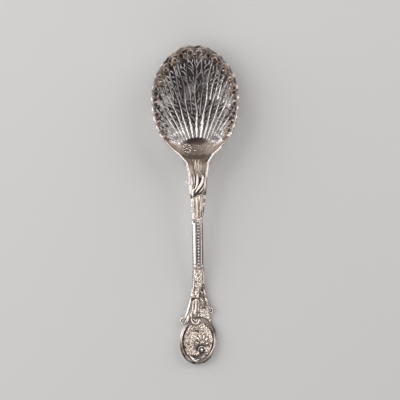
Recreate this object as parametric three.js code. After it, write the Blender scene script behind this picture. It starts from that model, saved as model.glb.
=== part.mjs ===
// A silver sifter spoon: a pierced, lobed bowl with a scalloped rim wire on an arched handle with scrolls,
// leafwork, a beaded channel and an oval relief cartouche at its end.
// Millimetres, +Z up. The spoon lies bowl up along Y with the bowl towards +Y. The origin is under the middle of
// its bounding box, on the surface that it lies on.
import * as THREE from "three";
import { mergeVertices } from "three/addons/utils/BufferGeometryUtils.js";

// Bowl
const TIP_Y = 102.75; // rib end at the bowl's tip, from the origin
const BOWL_HALF_WIDTH = 27.2;
const BOWL_FRONT = 33.7; // widest line to tip
const BOWL_BACK = 39; // widest line to heel
const BOWL_DEPTH = 16.5;
const BOWL_STEEPNESS = 0.85; // share of a full quarter circle that the wall's curve uses
const SHEET = 0.9; // thickness of the bowl's silver sheet
const WORN_FLAT = 0.15; // height worn off the lowest lobes
const SHOULDER_ANGLE = 130; // degrees from the tip, where the lobes end on both sides

// Lobes, ribs and piercing
const LOBES = 20;
const TIP_LOBE = 12.4; // lobe widths along the rim: the two at the tip, the next ones and the last ones
const WIDE_LOBE = 8.7;
const NARROW_LOBE = 5.2;
const LOBE_BULGE = 0.11; // outward bulge as a share of a lobe's width
const FLUTE_DEPTH = 0.5; // how far a lobe's channel lies below its ribs
const FAN_X = 0.6; // the ribs spring from a small arc at the heel, a little right of the middle
const FAN_FROM_HEEL = 8.5;
const FAN_HALF_WIDTH = 11;
const FAN_HEIGHT = 6.3;
const FAN_SPREAD = 80; // degrees each way
const SLOTTED_LOBES = 16; // lobes that start with a plain slot
const SLOT_LENGTH = 5.5;
const RIM_BAND = 6.5; // rows of round holes under the rim
const ROW_PITCH = 8.5; // leaf-shaped holes between slots and rim band
const RIB_WIDTH = 0.75; // solid metal left beside each hole
const LEAST_SLOTTED = 1.2; // lobe widths from which a lobe is slotted and from which its holes are paired
const LEAST_PAIRED = 2.9;

// Room for solder between two pieces
const GAP = 0.15;

// Rim wire and shoulder rails
const RIM_WIRE_RADIUS = 0.65;
const RAIL_RADIUS = 0.85;
const RAIL_CURL = 1.45;
const RAIL_LEFT_LENGTH = 14.5; // how far each rail runs down the neck
const RAIL_RIGHT_LENGTH = 13;

// Handle core, with the drop that it runs out into under the bowl
const ARCH_TOP_Y = 16; // the arch runs from here down to its foot, a little past the top of the cartouche
const ARCH_FOOT_PAST_OVAL = 6.3;
const NECK_THICKNESS = 3.2;
const STEM_THICKNESS = 2.2;
const CORE_ROUNDING = 0.9; // how far the core's underside curves up at its sides
const STEM_HALF_WIDTH = 3.75;
const NECK_BLOCK = 4.5; // length of the solid block behind the bowl
const DROP_SHARE = 0.58; // how near the bowl's middle the drop ends, as a share of the basin
const DROP_SPREAD = 14; // degrees of the basin each way at the heel
const DROP_HEEL = 4.4; // thickness at the heel and at the end
const DROP_END = 0.6;

// Neck leaf, sheath and side ornaments
const NECK_LEAF_FRONT_Y = 34;
const NECK_LEAF_HEIGHT = 2.2;
const NECK_FLUTES = 5;
const NECK_FLUTE_DEPTH = 0.6;
const TWIST_LEFT_Y = 4; // where the neck leaf turns over into the sheath, on both sides
const TWIST_RIGHT_Y = 9;
const SHEATH_HEIGHT = 1.9;
const NECK_SCROLL_RADIUS = 0.8;
const NECK_SCROLL_SIZE = 1.5;
const NUB_RADIUS = 0.8;
const NUB_PITCH = 2.3;
const NUBS = 3;

// Stem mouldings and bead wire
const MOULDING_FRONT_Y = -9;
const MOULDING_BACK_Y = -41.5;
const MOULDING_HEIGHT = 1.6;
const BEAD_CHANNEL_X = 0.5; // the bead channel's middle, a little right of the stem's middle
const BEAD_RADIUS = 0.65;
const BEAD_PITCH = 2;
const BEAD_END_ROOM = 1.2; // left free at the ends of the channel, both together

// Flower drop, leaves and wings under the stem, with their distances from the top of the cartouche
const FLOWER_BACK_FROM_OVAL = 12.7;
const FLOWER_HEIGHT = 1.5;
const FLOWER_WHORLS = 4;
const CLUSTER_FRONT_FROM_OVAL = 21.7;
const CLUSTER_BACK_FROM_OVAL = 5.7;
const CLUSTER_HEIGHT = 1.8;
const ACANTHUS_HEIGHT = 2;
const WING_RADIUS = 1;
const WING_INSET = 0.3;
const WING_START = 2.7; // in front of the flower drop's end
const RUFFLE_DEPTH = 0.6;
const RUFFLE_PITCH = 4.5;
const WING_LEFT_LENGTH = 14;
const WING_LEFT_CURL = 1.9;
const WING_RIGHT_LENGTH = 10.5;
const WING_RIGHT_CURL = 1.3;

// Cartouche
const END_Y = -105; // far end of the cartouche
const OVAL_X = -0.7;
const OVAL_HALF_WIDTH = 12.2;
const OVAL_HALF_LENGTH = 15.7;
const OVAL_LEAN = 8; // degrees, its top leaning right
const PLATE_EDGE = 2;
const PLATE_DISH = 0.7; // how far the field sinks in its middle
const FRAME_RADIUS = 1;
const CREST_SHARE = 0.313; // sizes of what lies in the field, as shares of its half-width
const CREST_HEIGHT = 1.7;
const SHELL_SHARE = 0.485;
const SHELL_PETALS = 7;
const SHELL_HEIGHT = 1.4;
const PEARL_SHARE = 0.172;
const FOLIAGE_HEIGHT = 1.3;
const FOLIAGE_SHARE = 0.444;
const FOLIAGE_LEAVES = 5;

// Ornaments in the bowl's heel
const ROSETTE_RADIUS = 3.4;
const ROSETTE_HEIGHT = 0.8;
const HEEL_LEAF_SIZE = 3.4;
const HEEL_BEAD_RADIUS = 1.1;

const BOWL_Y = TIP_Y - BOWL_FRONT;
const HEEL_Y = BOWL_Y - BOWL_BACK;

const up = new THREE.Vector3(0, 0, 1);
const vec = (x, y, z) => new THREE.Vector3(x, y, z);
const clamp = THREE.MathUtils.clamp;
const lerp = THREE.MathUtils.lerp;
const radians = THREE.MathUtils.degToRad;
const smooth = (t) => THREE.MathUtils.smoothstep(t, 0, 1);
const steps = (count) => Array.from({ length: count + 1 }, (_, i) => i / count);
const halfRound = (s) => Math.sqrt(Math.max(0, 1 - s * s));

// The leaning oval's reach along the spoon, from its middle.
const OVAL_REACH = Math.hypot(
  OVAL_HALF_LENGTH * Math.cos(radians(OVAL_LEAN)),
  OVAL_HALF_WIDTH * Math.sin(radians(OVAL_LEAN)),
);
const OVAL_Y = END_Y + OVAL_REACH;
const OVAL_TOP_Y = OVAL_Y + OVAL_REACH;
const ovalMiddle = new THREE.Vector2(OVAL_X, OVAL_Y);
const ARCH_FOOT_Y = OVAL_TOP_Y - ARCH_FOOT_PAST_OVAL;
const FLOWER_BACK_Y = OVAL_TOP_Y + FLOWER_BACK_FROM_OVAL;
const CLUSTER_FRONT_Y = OVAL_TOP_Y + CLUSTER_FRONT_FROM_OVAL;
const CLUSTER_BACK_Y = OVAL_TOP_Y + CLUSTER_BACK_FROM_OVAL;
const ACANTHUS_BACK_Y = OVAL_TOP_Y - 2 * GAP;

// The field inside the frame, and what lies in it.
const FIELD_HALF_WIDTH = OVAL_HALF_WIDTH - 2 * FRAME_RADIUS - 2 * GAP;
const FIELD_HALF_LENGTH = OVAL_HALF_LENGTH - 2 * FRAME_RADIUS - 2 * GAP;
const CREST_SIZE = CREST_SHARE * FIELD_HALF_WIDTH;
const SHELL_SIZE = SHELL_SHARE * FIELD_HALF_WIDTH;
const PEARL_RADIUS = PEARL_SHARE * FIELD_HALF_WIDTH;
const FOLIAGE_REACH = FOLIAGE_SHARE * FIELD_HALF_WIDTH;
const origin = new THREE.Vector2(0, 0);

// Closed solids from points and faces

function solid(points, faces) {
  const geometry = new THREE.BufferGeometry().setFromPoints(points);
  geometry.setIndex(faces.flat());
  const merged = mergeVertices(geometry, 1e-4);
  const index = merged.index.array;
  const kept = [];
  for (let i = 0; i < index.length; i += 3) {
    const [a, b, c] = index.slice(i, i + 3);
    if (a !== b && b !== c && c !== a) kept.push(a, b, c);
  }
  merged.setIndex(kept);
  const p = merged.getAttribute("position");
  const corner = (i) => vec(0, 0, 0).fromBufferAttribute(p, kept[i]);
  let volume = 0;
  for (let i = 0; i < kept.length; i += 3) {
    volume += corner(i).dot(corner(i + 1).cross(corner(i + 2)));
  }
  if (volume < 0) merged.setIndex(kept.reverse());
  merged.computeVertexNormals();
  return merged;
}

// A sheet with a top and a bottom: its faces are given once and its open edges get walls.
function thickened(tops, bottoms, faces) {
  const count = tops.length;
  const edges = new Map();
  for (const [a, b, c] of faces) {
    for (const [i, j] of [[a, b], [b, c], [c, a]]) edges.set(i + "," + j, [i, j]);
  }
  const walls = [];
  for (const [i, j] of edges.values()) {
    if (!edges.has(j + "," + i)) walls.push([j, i, i + count], [j, i + count, j + count]);
  }
  const under = faces.map(([a, b, c]) => [a + count, c + count, b + count]);
  return solid([...tops, ...bottoms], [...faces, ...under, ...walls]);
}

// A slab over a grid: along and across run from 0 to 1, and place gives the top and bottom points there.
function slab(alongCount, acrossCount, place) {
  const tops = [];
  const bottoms = [];
  const faces = [];
  steps(alongCount).forEach((along, i) => {
    steps(acrossCount).forEach((across, j) => {
      const { top, bottom } = place(along, across);
      tops.push(top);
      bottoms.push(bottom);
      if (i < alongCount && j < acrossCount) {
        const a = i * (acrossCount + 1) + j;
        const b = a + acrossCount + 1;
        faces.push([a, b, b + 1], [a, b + 1, a + 1]);
      }
    });
  });
  return thickened(tops, bottoms, faces);
}

// A loft through rings of equal size. A closed loft joins its last ring to its first and has no ends.
function loft(rings, closed = false) {
  const size = rings[0].length;
  const points = rings.flat();
  const faces = [];
  const last = closed ? rings.length : rings.length - 1;
  for (let i = 0; i < last; i++) {
    const next = ((i + 1) % rings.length) * size;
    for (let j = 0; j < size; j++) {
      const k = (j + 1) % size;
      faces.push([i * size + j, next + j, next + k], [i * size + j, next + k, i * size + k]);
    }
  }
  if (!closed) {
    [0, rings.length - 1].forEach((end) => {
      const middle = rings[end].reduce((sum, p) => sum.add(p), vec(0, 0, 0)).divideScalar(size);
      const at = points.push(middle) - 1;
      for (let j = 0; j < size; j++) {
        const a = end * size + j;
        const b = end * size + ((j + 1) % size);
        faces.push(end ? [at, b, a] : [at, a, b]);
      }
    });
  }
  return solid(points, faces);
}

// A ring of points round a centre, in the plane of two directions.
function ring(centre, sideways, upward, width, height, sides) {
  return steps(sides).slice(0, sides).map((share) => {
    const angle = share * 2 * Math.PI;
    return centre.clone()
      .addScaledVector(sideways, width * Math.cos(angle))
      .addScaledVector(upward, height * Math.sin(angle));
  });
}

// A round bar along a curve that lies nearly flat, with its radius given along the way.
function bar(curve, count, sides, radiusAt) {
  const rings = steps(count).map((t) => {
    const ahead = curve.getTangent(t);
    const sideways = ahead.clone().cross(up).normalize();
    const radius = radiusAt(t);
    return ring(curve.getPoint(t), sideways, sideways.clone().cross(ahead), radius, radius, sides);
  });
  return loft(rings);
}

// The bowl's basin

function egg(angle, share = 1) {
  const back = Math.cos(angle) < 0;
  return new THREE.Vector2(
    share * BOWL_HALF_WIDTH * Math.sin(angle),
    BOWL_Y + share * (back ? BOWL_BACK : BOWL_FRONT) * Math.cos(angle),
  );
}

const FAN_APEX_Y = HEEL_Y + FAN_FROM_HEEL + FAN_HEIGHT;
const DEEPEST_SHARE = (BOWL_Y - FAN_APEX_Y) / (TIP_Y - FAN_APEX_Y); // along the middle rib
const sunk = (share) => FLUTE_DEPTH * Math.pow(share, 0.7);
const BASIN_FLOOR = SHEET + sunk(DEEPEST_SHARE) - WORN_FLAT;
const RIM_Z = BASIN_FLOOR + BOWL_DEPTH;

// The plain basin's height over a place in the plan, before its flutes.
function basinHeight(x, y) {
  const length = y < BOWL_Y ? BOWL_BACK : BOWL_FRONT;
  const out = Math.min(1, Math.hypot(x / BOWL_HALF_WIDTH, (y - BOWL_Y) / length));
  const curve = (t) => 1 - Math.sqrt(1 - (BOWL_STEEPNESS * t) ** 2);
  return BASIN_FLOOR + (BOWL_DEPTH * curve(out)) / curve(1);
}

function basinNormal(x, y) {
  const step = 0.05;
  const inwards = new THREE.Vector2(x, y - BOWL_Y).multiplyScalar(0.995);
  const [px, py] = [inwards.x, inwards.y + BOWL_Y];
  const slopeX = (basinHeight(px + step, py) - basinHeight(px - step, py)) / (2 * step);
  const slopeY = (basinHeight(px, py + step) - basinHeight(px, py - step)) / (2 * step);
  return vec(-slopeX, -slopeY, 1).normalize();
}

// A point on the plain basin, lowered through the sheet by an amount.
const inBasin = (x, y, below = 0) =>
  vec(x, y, basinHeight(x, y)).addScaledVector(basinNormal(x, y), -below);

// Lobe widths from the left shoulder round the tip to the right shoulder.
const lobeWidths = steps(LOBES - 1).map((share) => {
  const fromTip = Math.abs(share * (LOBES - 1) - (LOBES - 1) / 2) - 0.5;
  return fromTip < 0.5 ? TIP_LOBE : lerp(WIDE_LOBE, NARROW_LOBE, (fromTip - 1) / (LOBES / 2 - 2));
});

// The rim's angle for a length along it, as a share of the lobed rim.
const rimLengths = (() => {
  const marks = steps(720).map((share) => egg(radians(lerp(-SHOULDER_ANGLE, SHOULDER_ANGLE, share))));
  let length = 0;
  return marks.map((mark, i) => (length += i ? mark.distanceTo(marks[i - 1]) : 0));
})();
const rimLength = rimLengths.at(-1);

function rimAngle(share) {
  const wanted = clamp(share, 0, 1) * rimLength;
  const above = Math.max(1, rimLengths.findIndex((length) => length >= wanted - 1e-9));
  const part = (wanted - rimLengths[above - 1]) / (rimLengths[above] - rimLengths[above - 1]);
  return radians(lerp(-SHOULDER_ANGLE, SHOULDER_ANGLE, (above - 1 + part) / (rimLengths.length - 1)));
}

const widthSum = lobeWidths.reduce((sum, width) => sum + width, 0);

// Where lobe coordinate u (whole numbers are ribs) meets the plain rim.
function rimPoint(u) {
  const lobe = Math.min(LOBES - 1, Math.floor(u));
  const before = lobeWidths.slice(0, lobe).reduce((sum, width) => sum + width, 0);
  return egg(rimAngle((before + (u - lobe) * lobeWidths[lobe]) / widthSum));
}

function fanPoint(u) {
  const angle = radians(FAN_SPREAD) * Math.sin(((u / LOBES - 0.5) * Math.PI));
  return new THREE.Vector2(
    FAN_X + FAN_HALF_WIDTH * Math.sin(angle),
    HEEL_Y + FAN_FROM_HEEL + FAN_HEIGHT * Math.cos(angle),
  );
}

// A point of the fluted bowl at rib coordinate u, a share v of the way from the fan to the rim.
function inFan(u, v, below = 0) {
  const plan = fanPoint(u).lerp(rimPoint(u), v);
  const lobe = Math.min(LOBES - 1, Math.floor(u));
  const across = u - lobe;
  const bulge = 4 * across * (1 - across);
  const outwards = new THREE.Vector2(plan.x, plan.y - BOWL_Y).normalize();
  const reach = LOBE_BULGE * lobeWidths[lobe] * bulge * Math.pow(v, 1.5);
  const point = inBasin(plan.x, plan.y, below);
  point.x += outwards.x * reach;
  point.y += outwards.y * reach;
  point.z -= sunk(v) * bulge;
  if (below) point.z = Math.max(0, point.z);
  return point;
}

const ribLength = (u) => fanPoint(u).distanceTo(rimPoint(u));

// The rows of one lobe's piercing: shares from the fan to the rim.
function lobeRows(lobe) {
  const length = ribLength(lobe + 0.5);
  const slotted = Math.abs(lobe + 0.5 - LOBES / 2) < SLOTTED_LOBES / 2;
  const slotEnd = slotted ? Math.min(0.4, SLOT_LENGTH / length) : 0;
  const bandStart = 1 - Math.min(0.4, RIM_BAND / length);
  const rows = Math.max(1, Math.round((length * (bandStart - slotEnd)) / ROW_PITCH));
  const between = steps(rows).map((share) => lerp(slotEnd, bandStart, Math.pow(share, 1.15)));
  const marks = [...(slotted ? [0] : []), ...between, 1];
  return { slotted, marks: marks.map((mark) => Math.round(mark * 100) / 100) };
}

// Hole outlines in a cell of the given size, from its lower left corner.

const slotHole = (width, height) => {
  const half = Math.max(0.25, width / 2 - RIB_WIDTH * 0.55);
  const [low, high] = [0.5, height - 0.4];
  return [[-half, low + half], [0, low], [half, low + half], [half, high - half], [0, high], [-half, high - half]]
    .map(([x, y]) => [width / 2 + x, y]);
};

// A leaf-shaped hole that leans towards the lobe's middle vein at its foot.
const leafHole = (width, height, side) => {
  const margin = RIB_WIDTH / 2;
  const [left, right] = side < 0 ? [margin * 1.5, width - margin] : [width - margin * 1.5, margin];
  const at = (share) => lerp(left, right, share);
  return [[1, 0.08], [0.35, 0.3], [0, 0.62], [0.12, 0.92], [0.55, 0.72], [1, 0.45]]
    .map(([x, y]) => [at(x), y * height]);
};

const roundHole = (width, height) => {
  const radius = Math.min(width, height) * 0.27;
  return steps(8).slice(0, 8).map((share) => {
    const angle = share * 2 * Math.PI;
    return [width / 2 + radius * Math.cos(angle), height * 0.52 + radius * Math.sin(angle)];
  });
};

const cornerHole = (width, height, side) => {
  const at = (share) => width / 2 + side * (width / 2 - RIB_WIDTH / 2) * share;
  return [[0.98, 0.1], [0.45, 0.1], [0.98, 0.42]].map(([x, y]) => [at(x), y * height]);
};

// The pierced bowl, cell by cell: each row of each lobe is one cell or two, with its holes left open.
function piercedBowl() {
  const lobes = steps(LOBES - 1).map((share) => lobeRows(Math.round(share * (LOBES - 1))));
  const keys = new Map();
  const tops = [];
  const bottoms = [];
  const faces = [];
  const add = (key, top, bottom) => {
    if (!keys.has(key)) {
      keys.set(key, tops.length);
      tops.push(top);
      bottoms.push(bottom);
    }
    return keys.get(key);
  };
  const fanVertex = (u, v) =>
    add(u.toFixed(5) + "|" + v.toFixed(5), inFan(u, v), inFan(u, v, SHEET));

  // The marks where rows end on a rib, from the lobes on both its sides.
  const ribMarks = (rib) => {
    const both = [...(lobes[rib - 1]?.marks ?? []), ...(lobes[rib]?.marks ?? []), 0];
    return [...new Set(both)].sort((a, b) => a - b);
  };

  function cell(uLow, uHigh, vLow, vHigh, holes) {
    const between = (rib) => Number.isInteger(rib)
      ? ribMarks(rib).filter((mark) => mark > vLow + 1e-4 && mark < vHigh - 1e-4)
      : [];
    const edge = (v) => {
      const parts = v > 1 - 1e-6 ? 4 : 2;
      return steps(Math.round((uHigh - uLow) * parts)).map((share) => lerp(uLow, uHigh, share));
    };
    const outline = [
      ...edge(vLow).map((u) => [u, vLow]),
      ...between(uHigh).map((v) => [uHigh, v]),
      ...edge(vHigh).reverse().map((u) => [u, vHigh]),
      ...between(uLow).reverse().map((v) => [uLow, v]),
    ];
    const middle = (vLow + vHigh) / 2;
    const width = inFan(uLow, middle).distanceTo(inFan(uHigh, middle));
    const height = ribLength((uLow + uHigh) / 2) * (vHigh - vLow);
    // Every side bows the same way a little, so that no point along a straight side is dropped.
    const flat = ([u, v]) => {
      const x = (2 * (u - uLow)) / (uHigh - uLow) - 1;
      const y = (2 * (v - vLow)) / (vHigh - vLow) - 1;
      const BULGE = 0.02;
      return new THREE.Vector2(
        (width / 2) * (1 + x + BULGE * (1 - y * y)),
        (height / 2) * (1 + y + BULGE * (1 - x * x)),
      );
    };
    const cut = holes.map((hole) => hole(width, height));
    const vertices = [
      ...outline,
      ...cut.flat().map(([x, y]) => [uLow + (x / width) * (uHigh - uLow), vLow + (y / height) * (vHigh - vLow)]),
    ].map(([u, v]) => fanVertex(u, v));
    const triangles = THREE.ShapeUtils.triangulateShape(
      outline.map(flat),
      cut.map((hole) => hole.map(([x, y]) => new THREE.Vector2(x, y))),
    );
    triangles.forEach((corners) => faces.push(corners.map((i) => vertices[i])));
  }

  lobes.forEach(({ slotted, marks }, lobe) => {
    marks.slice(1).forEach((vHigh, row) => {
      const vLow = marks[row];
      const narrowest = inFan(lobe, vLow).distanceTo(inFan(lobe + 1, vLow));
      const widest = inFan(lobe, vHigh).distanceTo(inFan(lobe + 1, vHigh));
      if (narrowest + widest < 2 * LEAST_SLOTTED) {
        cell(lobe, lobe + 1, vLow, vHigh, []);
      } else if (narrowest + widest < 2 * LEAST_PAIRED) {
        cell(lobe, lobe + 1, vLow, vHigh, [slotHole]);
      } else if (row === marks.length - 2) {
        const corners = [-1, 1].map((side) => (w, h) => cornerHole(w, h, side));
        cell(lobe, lobe + 1, vLow, vHigh, [roundHole, ...corners]);
      } else {
        cell(lobe, lobe + 0.5, vLow, vHigh, [(w, h) => leafHole(w, h, -1)]);
        cell(lobe + 0.5, lobe + 1, vLow, vHigh, [(w, h) => leafHole(w, h, 1)]);
      }
    });
  });

  // The plain heel, between the fan's arc with its two last ribs and the back of the rim.
  const front = [
    ...ribMarks(0).reverse().map((v) => [0, v]),
    ...steps(LOBES * 2).slice(1, -1).map((share) => [share * LOBES, 0]),
    ...ribMarks(LOBES).map((v) => [LOBES, v]),
  ];
  const HEEL_ROWS = 3;
  const heelVertex = (i, row) => {
    const [u, v] = front[i];
    if (row === 0 || i === 0 || i === front.length - 1) return fanVertex(u, v);
    const start = fanPoint(u).lerp(rimPoint(u), v);
    const turn = lerp(-SHOULDER_ANGLE, SHOULDER_ANGLE - 360, i / (front.length - 1));
    const plan = start.lerp(egg(radians(turn)), row / HEEL_ROWS);
    const bottom = inBasin(plan.x, plan.y, SHEET);
    return add("heel" + i + "|" + row, inBasin(plan.x, plan.y), bottom);
  };
  for (let i = 0; i < front.length - 1; i++) {
    for (let row = 0; row < HEEL_ROWS; row++) {
      const [a, b] = [heelVertex(i, row), heelVertex(i + 1, row)];
      const [c, d] = [heelVertex(i + 1, row + 1), heelVertex(i, row + 1)];
      [[a, c, b], [a, d, c]].forEach((face) => {
        if (new Set(face).size === 3) faces.push(face);
      });
    }
  }
  return thickened(tops, bottoms, faces);
}

// The rim wire lies against the sheet's edge, in line with the wall.
function edgeRing(u, radius) {
  const edge = inFan(u, 1).lerp(inFan(u, 1, SHEET), 0.5);
  const wall = inFan(u, 1).sub(inFan(u, 0.96)).normalize();
  const across = inFan(u, 1).sub(inFan(u, 1, SHEET)).normalize();
  return ring(edge.addScaledVector(wall, radius + GAP), across, wall, radius, radius, 6);
}

const rimWire = () =>
  loft(steps(LOBES * 4).map((share) => edgeRing(share * LOBES, RIM_WIRE_RADIUS)));

// The handle's core

const archHeight = (y) => smooth((y - ARCH_FOOT_Y) / (ARCH_TOP_Y - ARCH_FOOT_Y));
const coreThickness = (y) => lerp(STEM_THICKNESS, NECK_THICKNESS, archHeight(y));
const coreUnder = (y) => (RIM_Z - NECK_THICKNESS) * archHeight(y);
const coreTop = (y) => coreUnder(y) + coreThickness(y);

// The core's left and right edge at stations along the handle: how far down each lies, as a share of the way from
// the heel to the cartouche, and its edges in half-widths of the stem.
const CORE_STATIONS = [
  { down: 0, edges: [-2.03, 2.3] },
  { down: 0.04, edges: [-1.68, 2.21] },
  { down: 0.107, edges: [-1.31, 1.95] },
  { down: 0.193, edges: [-1.23, 1.71] },
  { down: 0.28, edges: [-1.04, 1.39] },
  { down: 0.367, edges: [-0.96, 1.04] },
  { down: 0.675, edges: [-0.96, 1.04] },
  { down: 0.81, edges: [-1.17, 1.17] },
  { down: 0.906, edges: [-1.63, 1.68] },
  { down: 1, edges: [-2.45, 2.29] },
];
const CORE_SIDES = CORE_STATIONS.map(({ down, edges }) => ({
  y: lerp(HEEL_Y, OVAL_TOP_Y, down),
  sides: edges.map((edge) => edge * STEM_HALF_WIDTH),
}));

function sideAt(y, side) {
  const after = clamp(CORE_SIDES.findIndex((station) => station.y <= y), 1, CORE_SIDES.length - 1);
  const [high, low] = [CORE_SIDES[after - 1], CORE_SIDES[after]];
  const share = clamp((high.y - y) / (high.y - low.y), 0, 1);
  return lerp(high.sides[side], low.sides[side], (share + smooth(share)) / 2);
}

const leftSide = (y) => sideAt(y, 0);
const rightSide = (y) => sideAt(y, 1);

// A place on the oval, by its angle from the top and how far inside the outer edge it lies.
function oval(angle, inset = 0) {
  const plan = new THREE.Vector2(
    (OVAL_HALF_WIDTH - inset) * Math.sin(angle),
    (OVAL_HALF_LENGTH - inset) * Math.cos(angle),
  );
  return plan.rotateAround(origin, -radians(OVAL_LEAN)).add(ovalMiddle);
}

// The oval's upper edge over a given x.
function ovalTop(x) {
  const edge = steps(360).map((share) => oval((share - 0.5) * Math.PI));
  return edge.reduce((best, point) => (Math.abs(point.x - x) < Math.abs(best.x - x) ? point : best)).y;
}

const DROP_ROWS = 6;
const NECK_ROWS = 3;
const CORE_ROWS = 22;

function handleCore() {
  const rows = DROP_ROWS + NECK_ROWS + CORE_ROWS;
  return slab(rows, 6, (along, across) => {
    const row = Math.round(along * rows);
    const side = 2 * across - 1;
    if (row <= DROP_ROWS) {
      const share = row / DROP_ROWS;
      const turn = Math.PI - radians(DROP_SPREAD) * side * lerp(0.25, 1, share);
      const plan = egg(turn, lerp(DROP_SHARE, 1, share));
      const thickness = lerp(DROP_END, DROP_HEEL * (1 - 0.35 * side ** 4), share ** 2);
      const inside = SHEET + GAP;
      return { top: inBasin(plan.x, plan.y, inside), bottom: inBasin(plan.x, plan.y, inside + thickness) };
    }
    const frontY = HEEL_Y - SHEET - GAP;
    const backY = frontY - NECK_BLOCK;
    const share = (row - DROP_ROWS) / NECK_ROWS;
    const neckY = lerp(frontY, backY, share);
    const underY = lerp(backY + NECK_BLOCK / 4, backY, share);
    if (share <= 1) {
      const x = lerp(leftSide(neckY), rightSide(neckY), across);
      const rise = CORE_ROUNDING * side ** 4;
      return { top: vec(x, neckY, RIM_Z), bottom: vec(x, underY, coreUnder(underY) + rise) };
    }
    const down = (row - DROP_ROWS - NECK_ROWS) / CORE_ROWS;
    const straightY = lerp(backY, OVAL_TOP_Y, down);
    const x = lerp(leftSide(straightY), rightSide(straightY), across);
    const y = lerp(backY, ovalTop(x) + 2 * GAP, down);
    const rise = CORE_ROUNDING * side ** 4;
    return { top: vec(x, y, coreTop(y)), bottom: vec(x, y, coreUnder(y) + rise) };
  });
}

// Pieces that lie on the handle

const ownCoreTop = (x, y) => coreTop(y);

// A relief slab on the core. The front and back edges give y over x, and the sides give x over y.
// A third of the rows may end on a knee, a line that also gives y over x.
function relief({ rows, columns, front, back, left, right, height, knee, floor = ownCoreTop }) {
  const endY = (edge, across) => {
    let y = edge(0);
    for (let i = 0; i < 3; i++) y = edge(lerp(left(y), right(y), across));
    return y;
  };
  return slab(rows, columns, (along, across) => {
    let y = lerp(endY(front, across), endY(back, across), along);
    if (knee) {
      const kneeY = endY(knee, across);
      y = along < 1 / 3
        ? lerp(endY(front, across), kneeY, along * 3)
        : lerp(kneeY, endY(back, across), along * 1.5 - 0.5);
    }
    const x = lerp(left(y), right(y), across);
    const base = floor(x, y) + GAP;
    return { top: vec(x, y, base + height(along, across, y)), bottom: vec(x, y, base) };
  });
}

// A round relief: reach gives its outline at an angle, and height its relief from the middle to the edge.
function medallion({ x, y, rings, sectors, reach, height, place }) {
  const tops = [];
  const bottoms = [];
  const faces = [];
  const add = (share, angle) => {
    const out = share * reach(angle);
    const points = place(x + out * Math.sin(angle), y + out * Math.cos(angle), height(share, angle));
    tops.push(points.top);
    bottoms.push(points.bottom);
  };
  add(0, 0);
  for (let i = 1; i <= rings; i++) {
    for (let j = 0; j < sectors; j++) add(i / rings, (j / sectors) * 2 * Math.PI);
  }
  const at = (i, j) => (i ? 1 + (i - 1) * sectors + (j % sectors) : 0);
  for (let i = 0; i < rings; i++) {
    for (let j = 0; j < sectors; j++) {
      faces.push([at(i, j), at(i + 1, j), at(i + 1, j + 1)]);
      if (i) faces.push([at(i, j), at(i + 1, j + 1), at(i, j + 1)]);
    }
  }
  return thickened(tops, bottoms, faces);
}

// A smooth path through plan points, lifted so that a bar of a given radius lies on what is under it.
function lifted(points, radiusAt, floorAt = coreTop) {
  const plan = new THREE.SplineCurve(points.map(([x, y]) => new THREE.Vector2(x, y)));
  const count = points.length * 3;
  return new THREE.CatmullRomCurve3(steps(count).map((t) => {
    const { x, y } = plan.getPoint(t);
    return vec(x, y, floorAt(y) + GAP + radiusAt(t));
  }));
}

// Plan points that go on from a path's end in a curl: size is its first radius, turns are signed.
function curled(points, size, turns) {
  if (!turns) return points;
  const [before, end] = points.slice(-2);
  let heading = Math.atan2(end[1] - before[1], end[0] - before[0]);
  let [x, y] = end;
  const count = Math.ceil(Math.abs(turns) * 10);
  const turn = (turns * 2 * Math.PI) / count;
  const curl = steps(count).slice(1).map((share) => {
    const radius = size * (1 - 0.4 * share);
    heading += turn / 2;
    x += radius * Math.abs(turn) * Math.cos(heading);
    y += radius * Math.abs(turn) * Math.sin(heading);
    heading += turn / 2;
    return [x, y];
  });
  return [...points, ...curl];
}

function scroll(points, radius, size, turns, count, floorAt) {
  const radiusAt = (t) => radius * (1 - 0.35 * smooth(t));
  return bar(lifted(curled(points, size, turns), radiusAt, floorAt), count, 7, radiusAt);
}

// The rails lie on the bowl's rim, leave it at the heel and run down both edges of the neck.
const railInset = RAIL_RADIUS * 0.6;

function railPath(side) {
  const away = side < 0 ? leftSide : rightSide;
  const onRim = [133, 141, 149, 157, 163].map((degrees) => {
    const plan = egg(side * radians(degrees));
    return [plan.x, plan.y];
  });
  const length = side < 0 ? RAIL_LEFT_LENGTH : RAIL_RIGHT_LENGTH;
  const onNeck = [0.14, 0.42, 0.7, 1].map((share) => {
    const y = HEEL_Y - share * length;
    return [away(y) - side * railInset, y];
  });
  return [...onRim, ...onNeck];
}

const neckRail = (side, turns) =>
  scroll(railPath(side), RAIL_RADIUS, RAIL_CURL, turns, 34, () => RIM_Z);

// The rails' middle lines, and past their ends the line that they would go on along.
const railLines = [-1, 1].map((side) => {
  const path = railPath(side).map(([x, y]) => new THREE.Vector2(x, y));
  return new THREE.SplineCurve(path).getPoints(80);
});
function railMiddle(side, y) {
  const line = railLines[side < 0 ? 0 : 1];
  const next = line.findIndex((point) => point.y <= y);
  if (next < 0) return (side < 0 ? leftSide(y) : rightSide(y)) - side * railInset;
  const [before, after] = [line[Math.max(0, next - 1)], line[next]];
  const share = next ? (before.y - y) / (before.y - after.y) : 0;
  return lerp(before.x, after.x, share);
}

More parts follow.
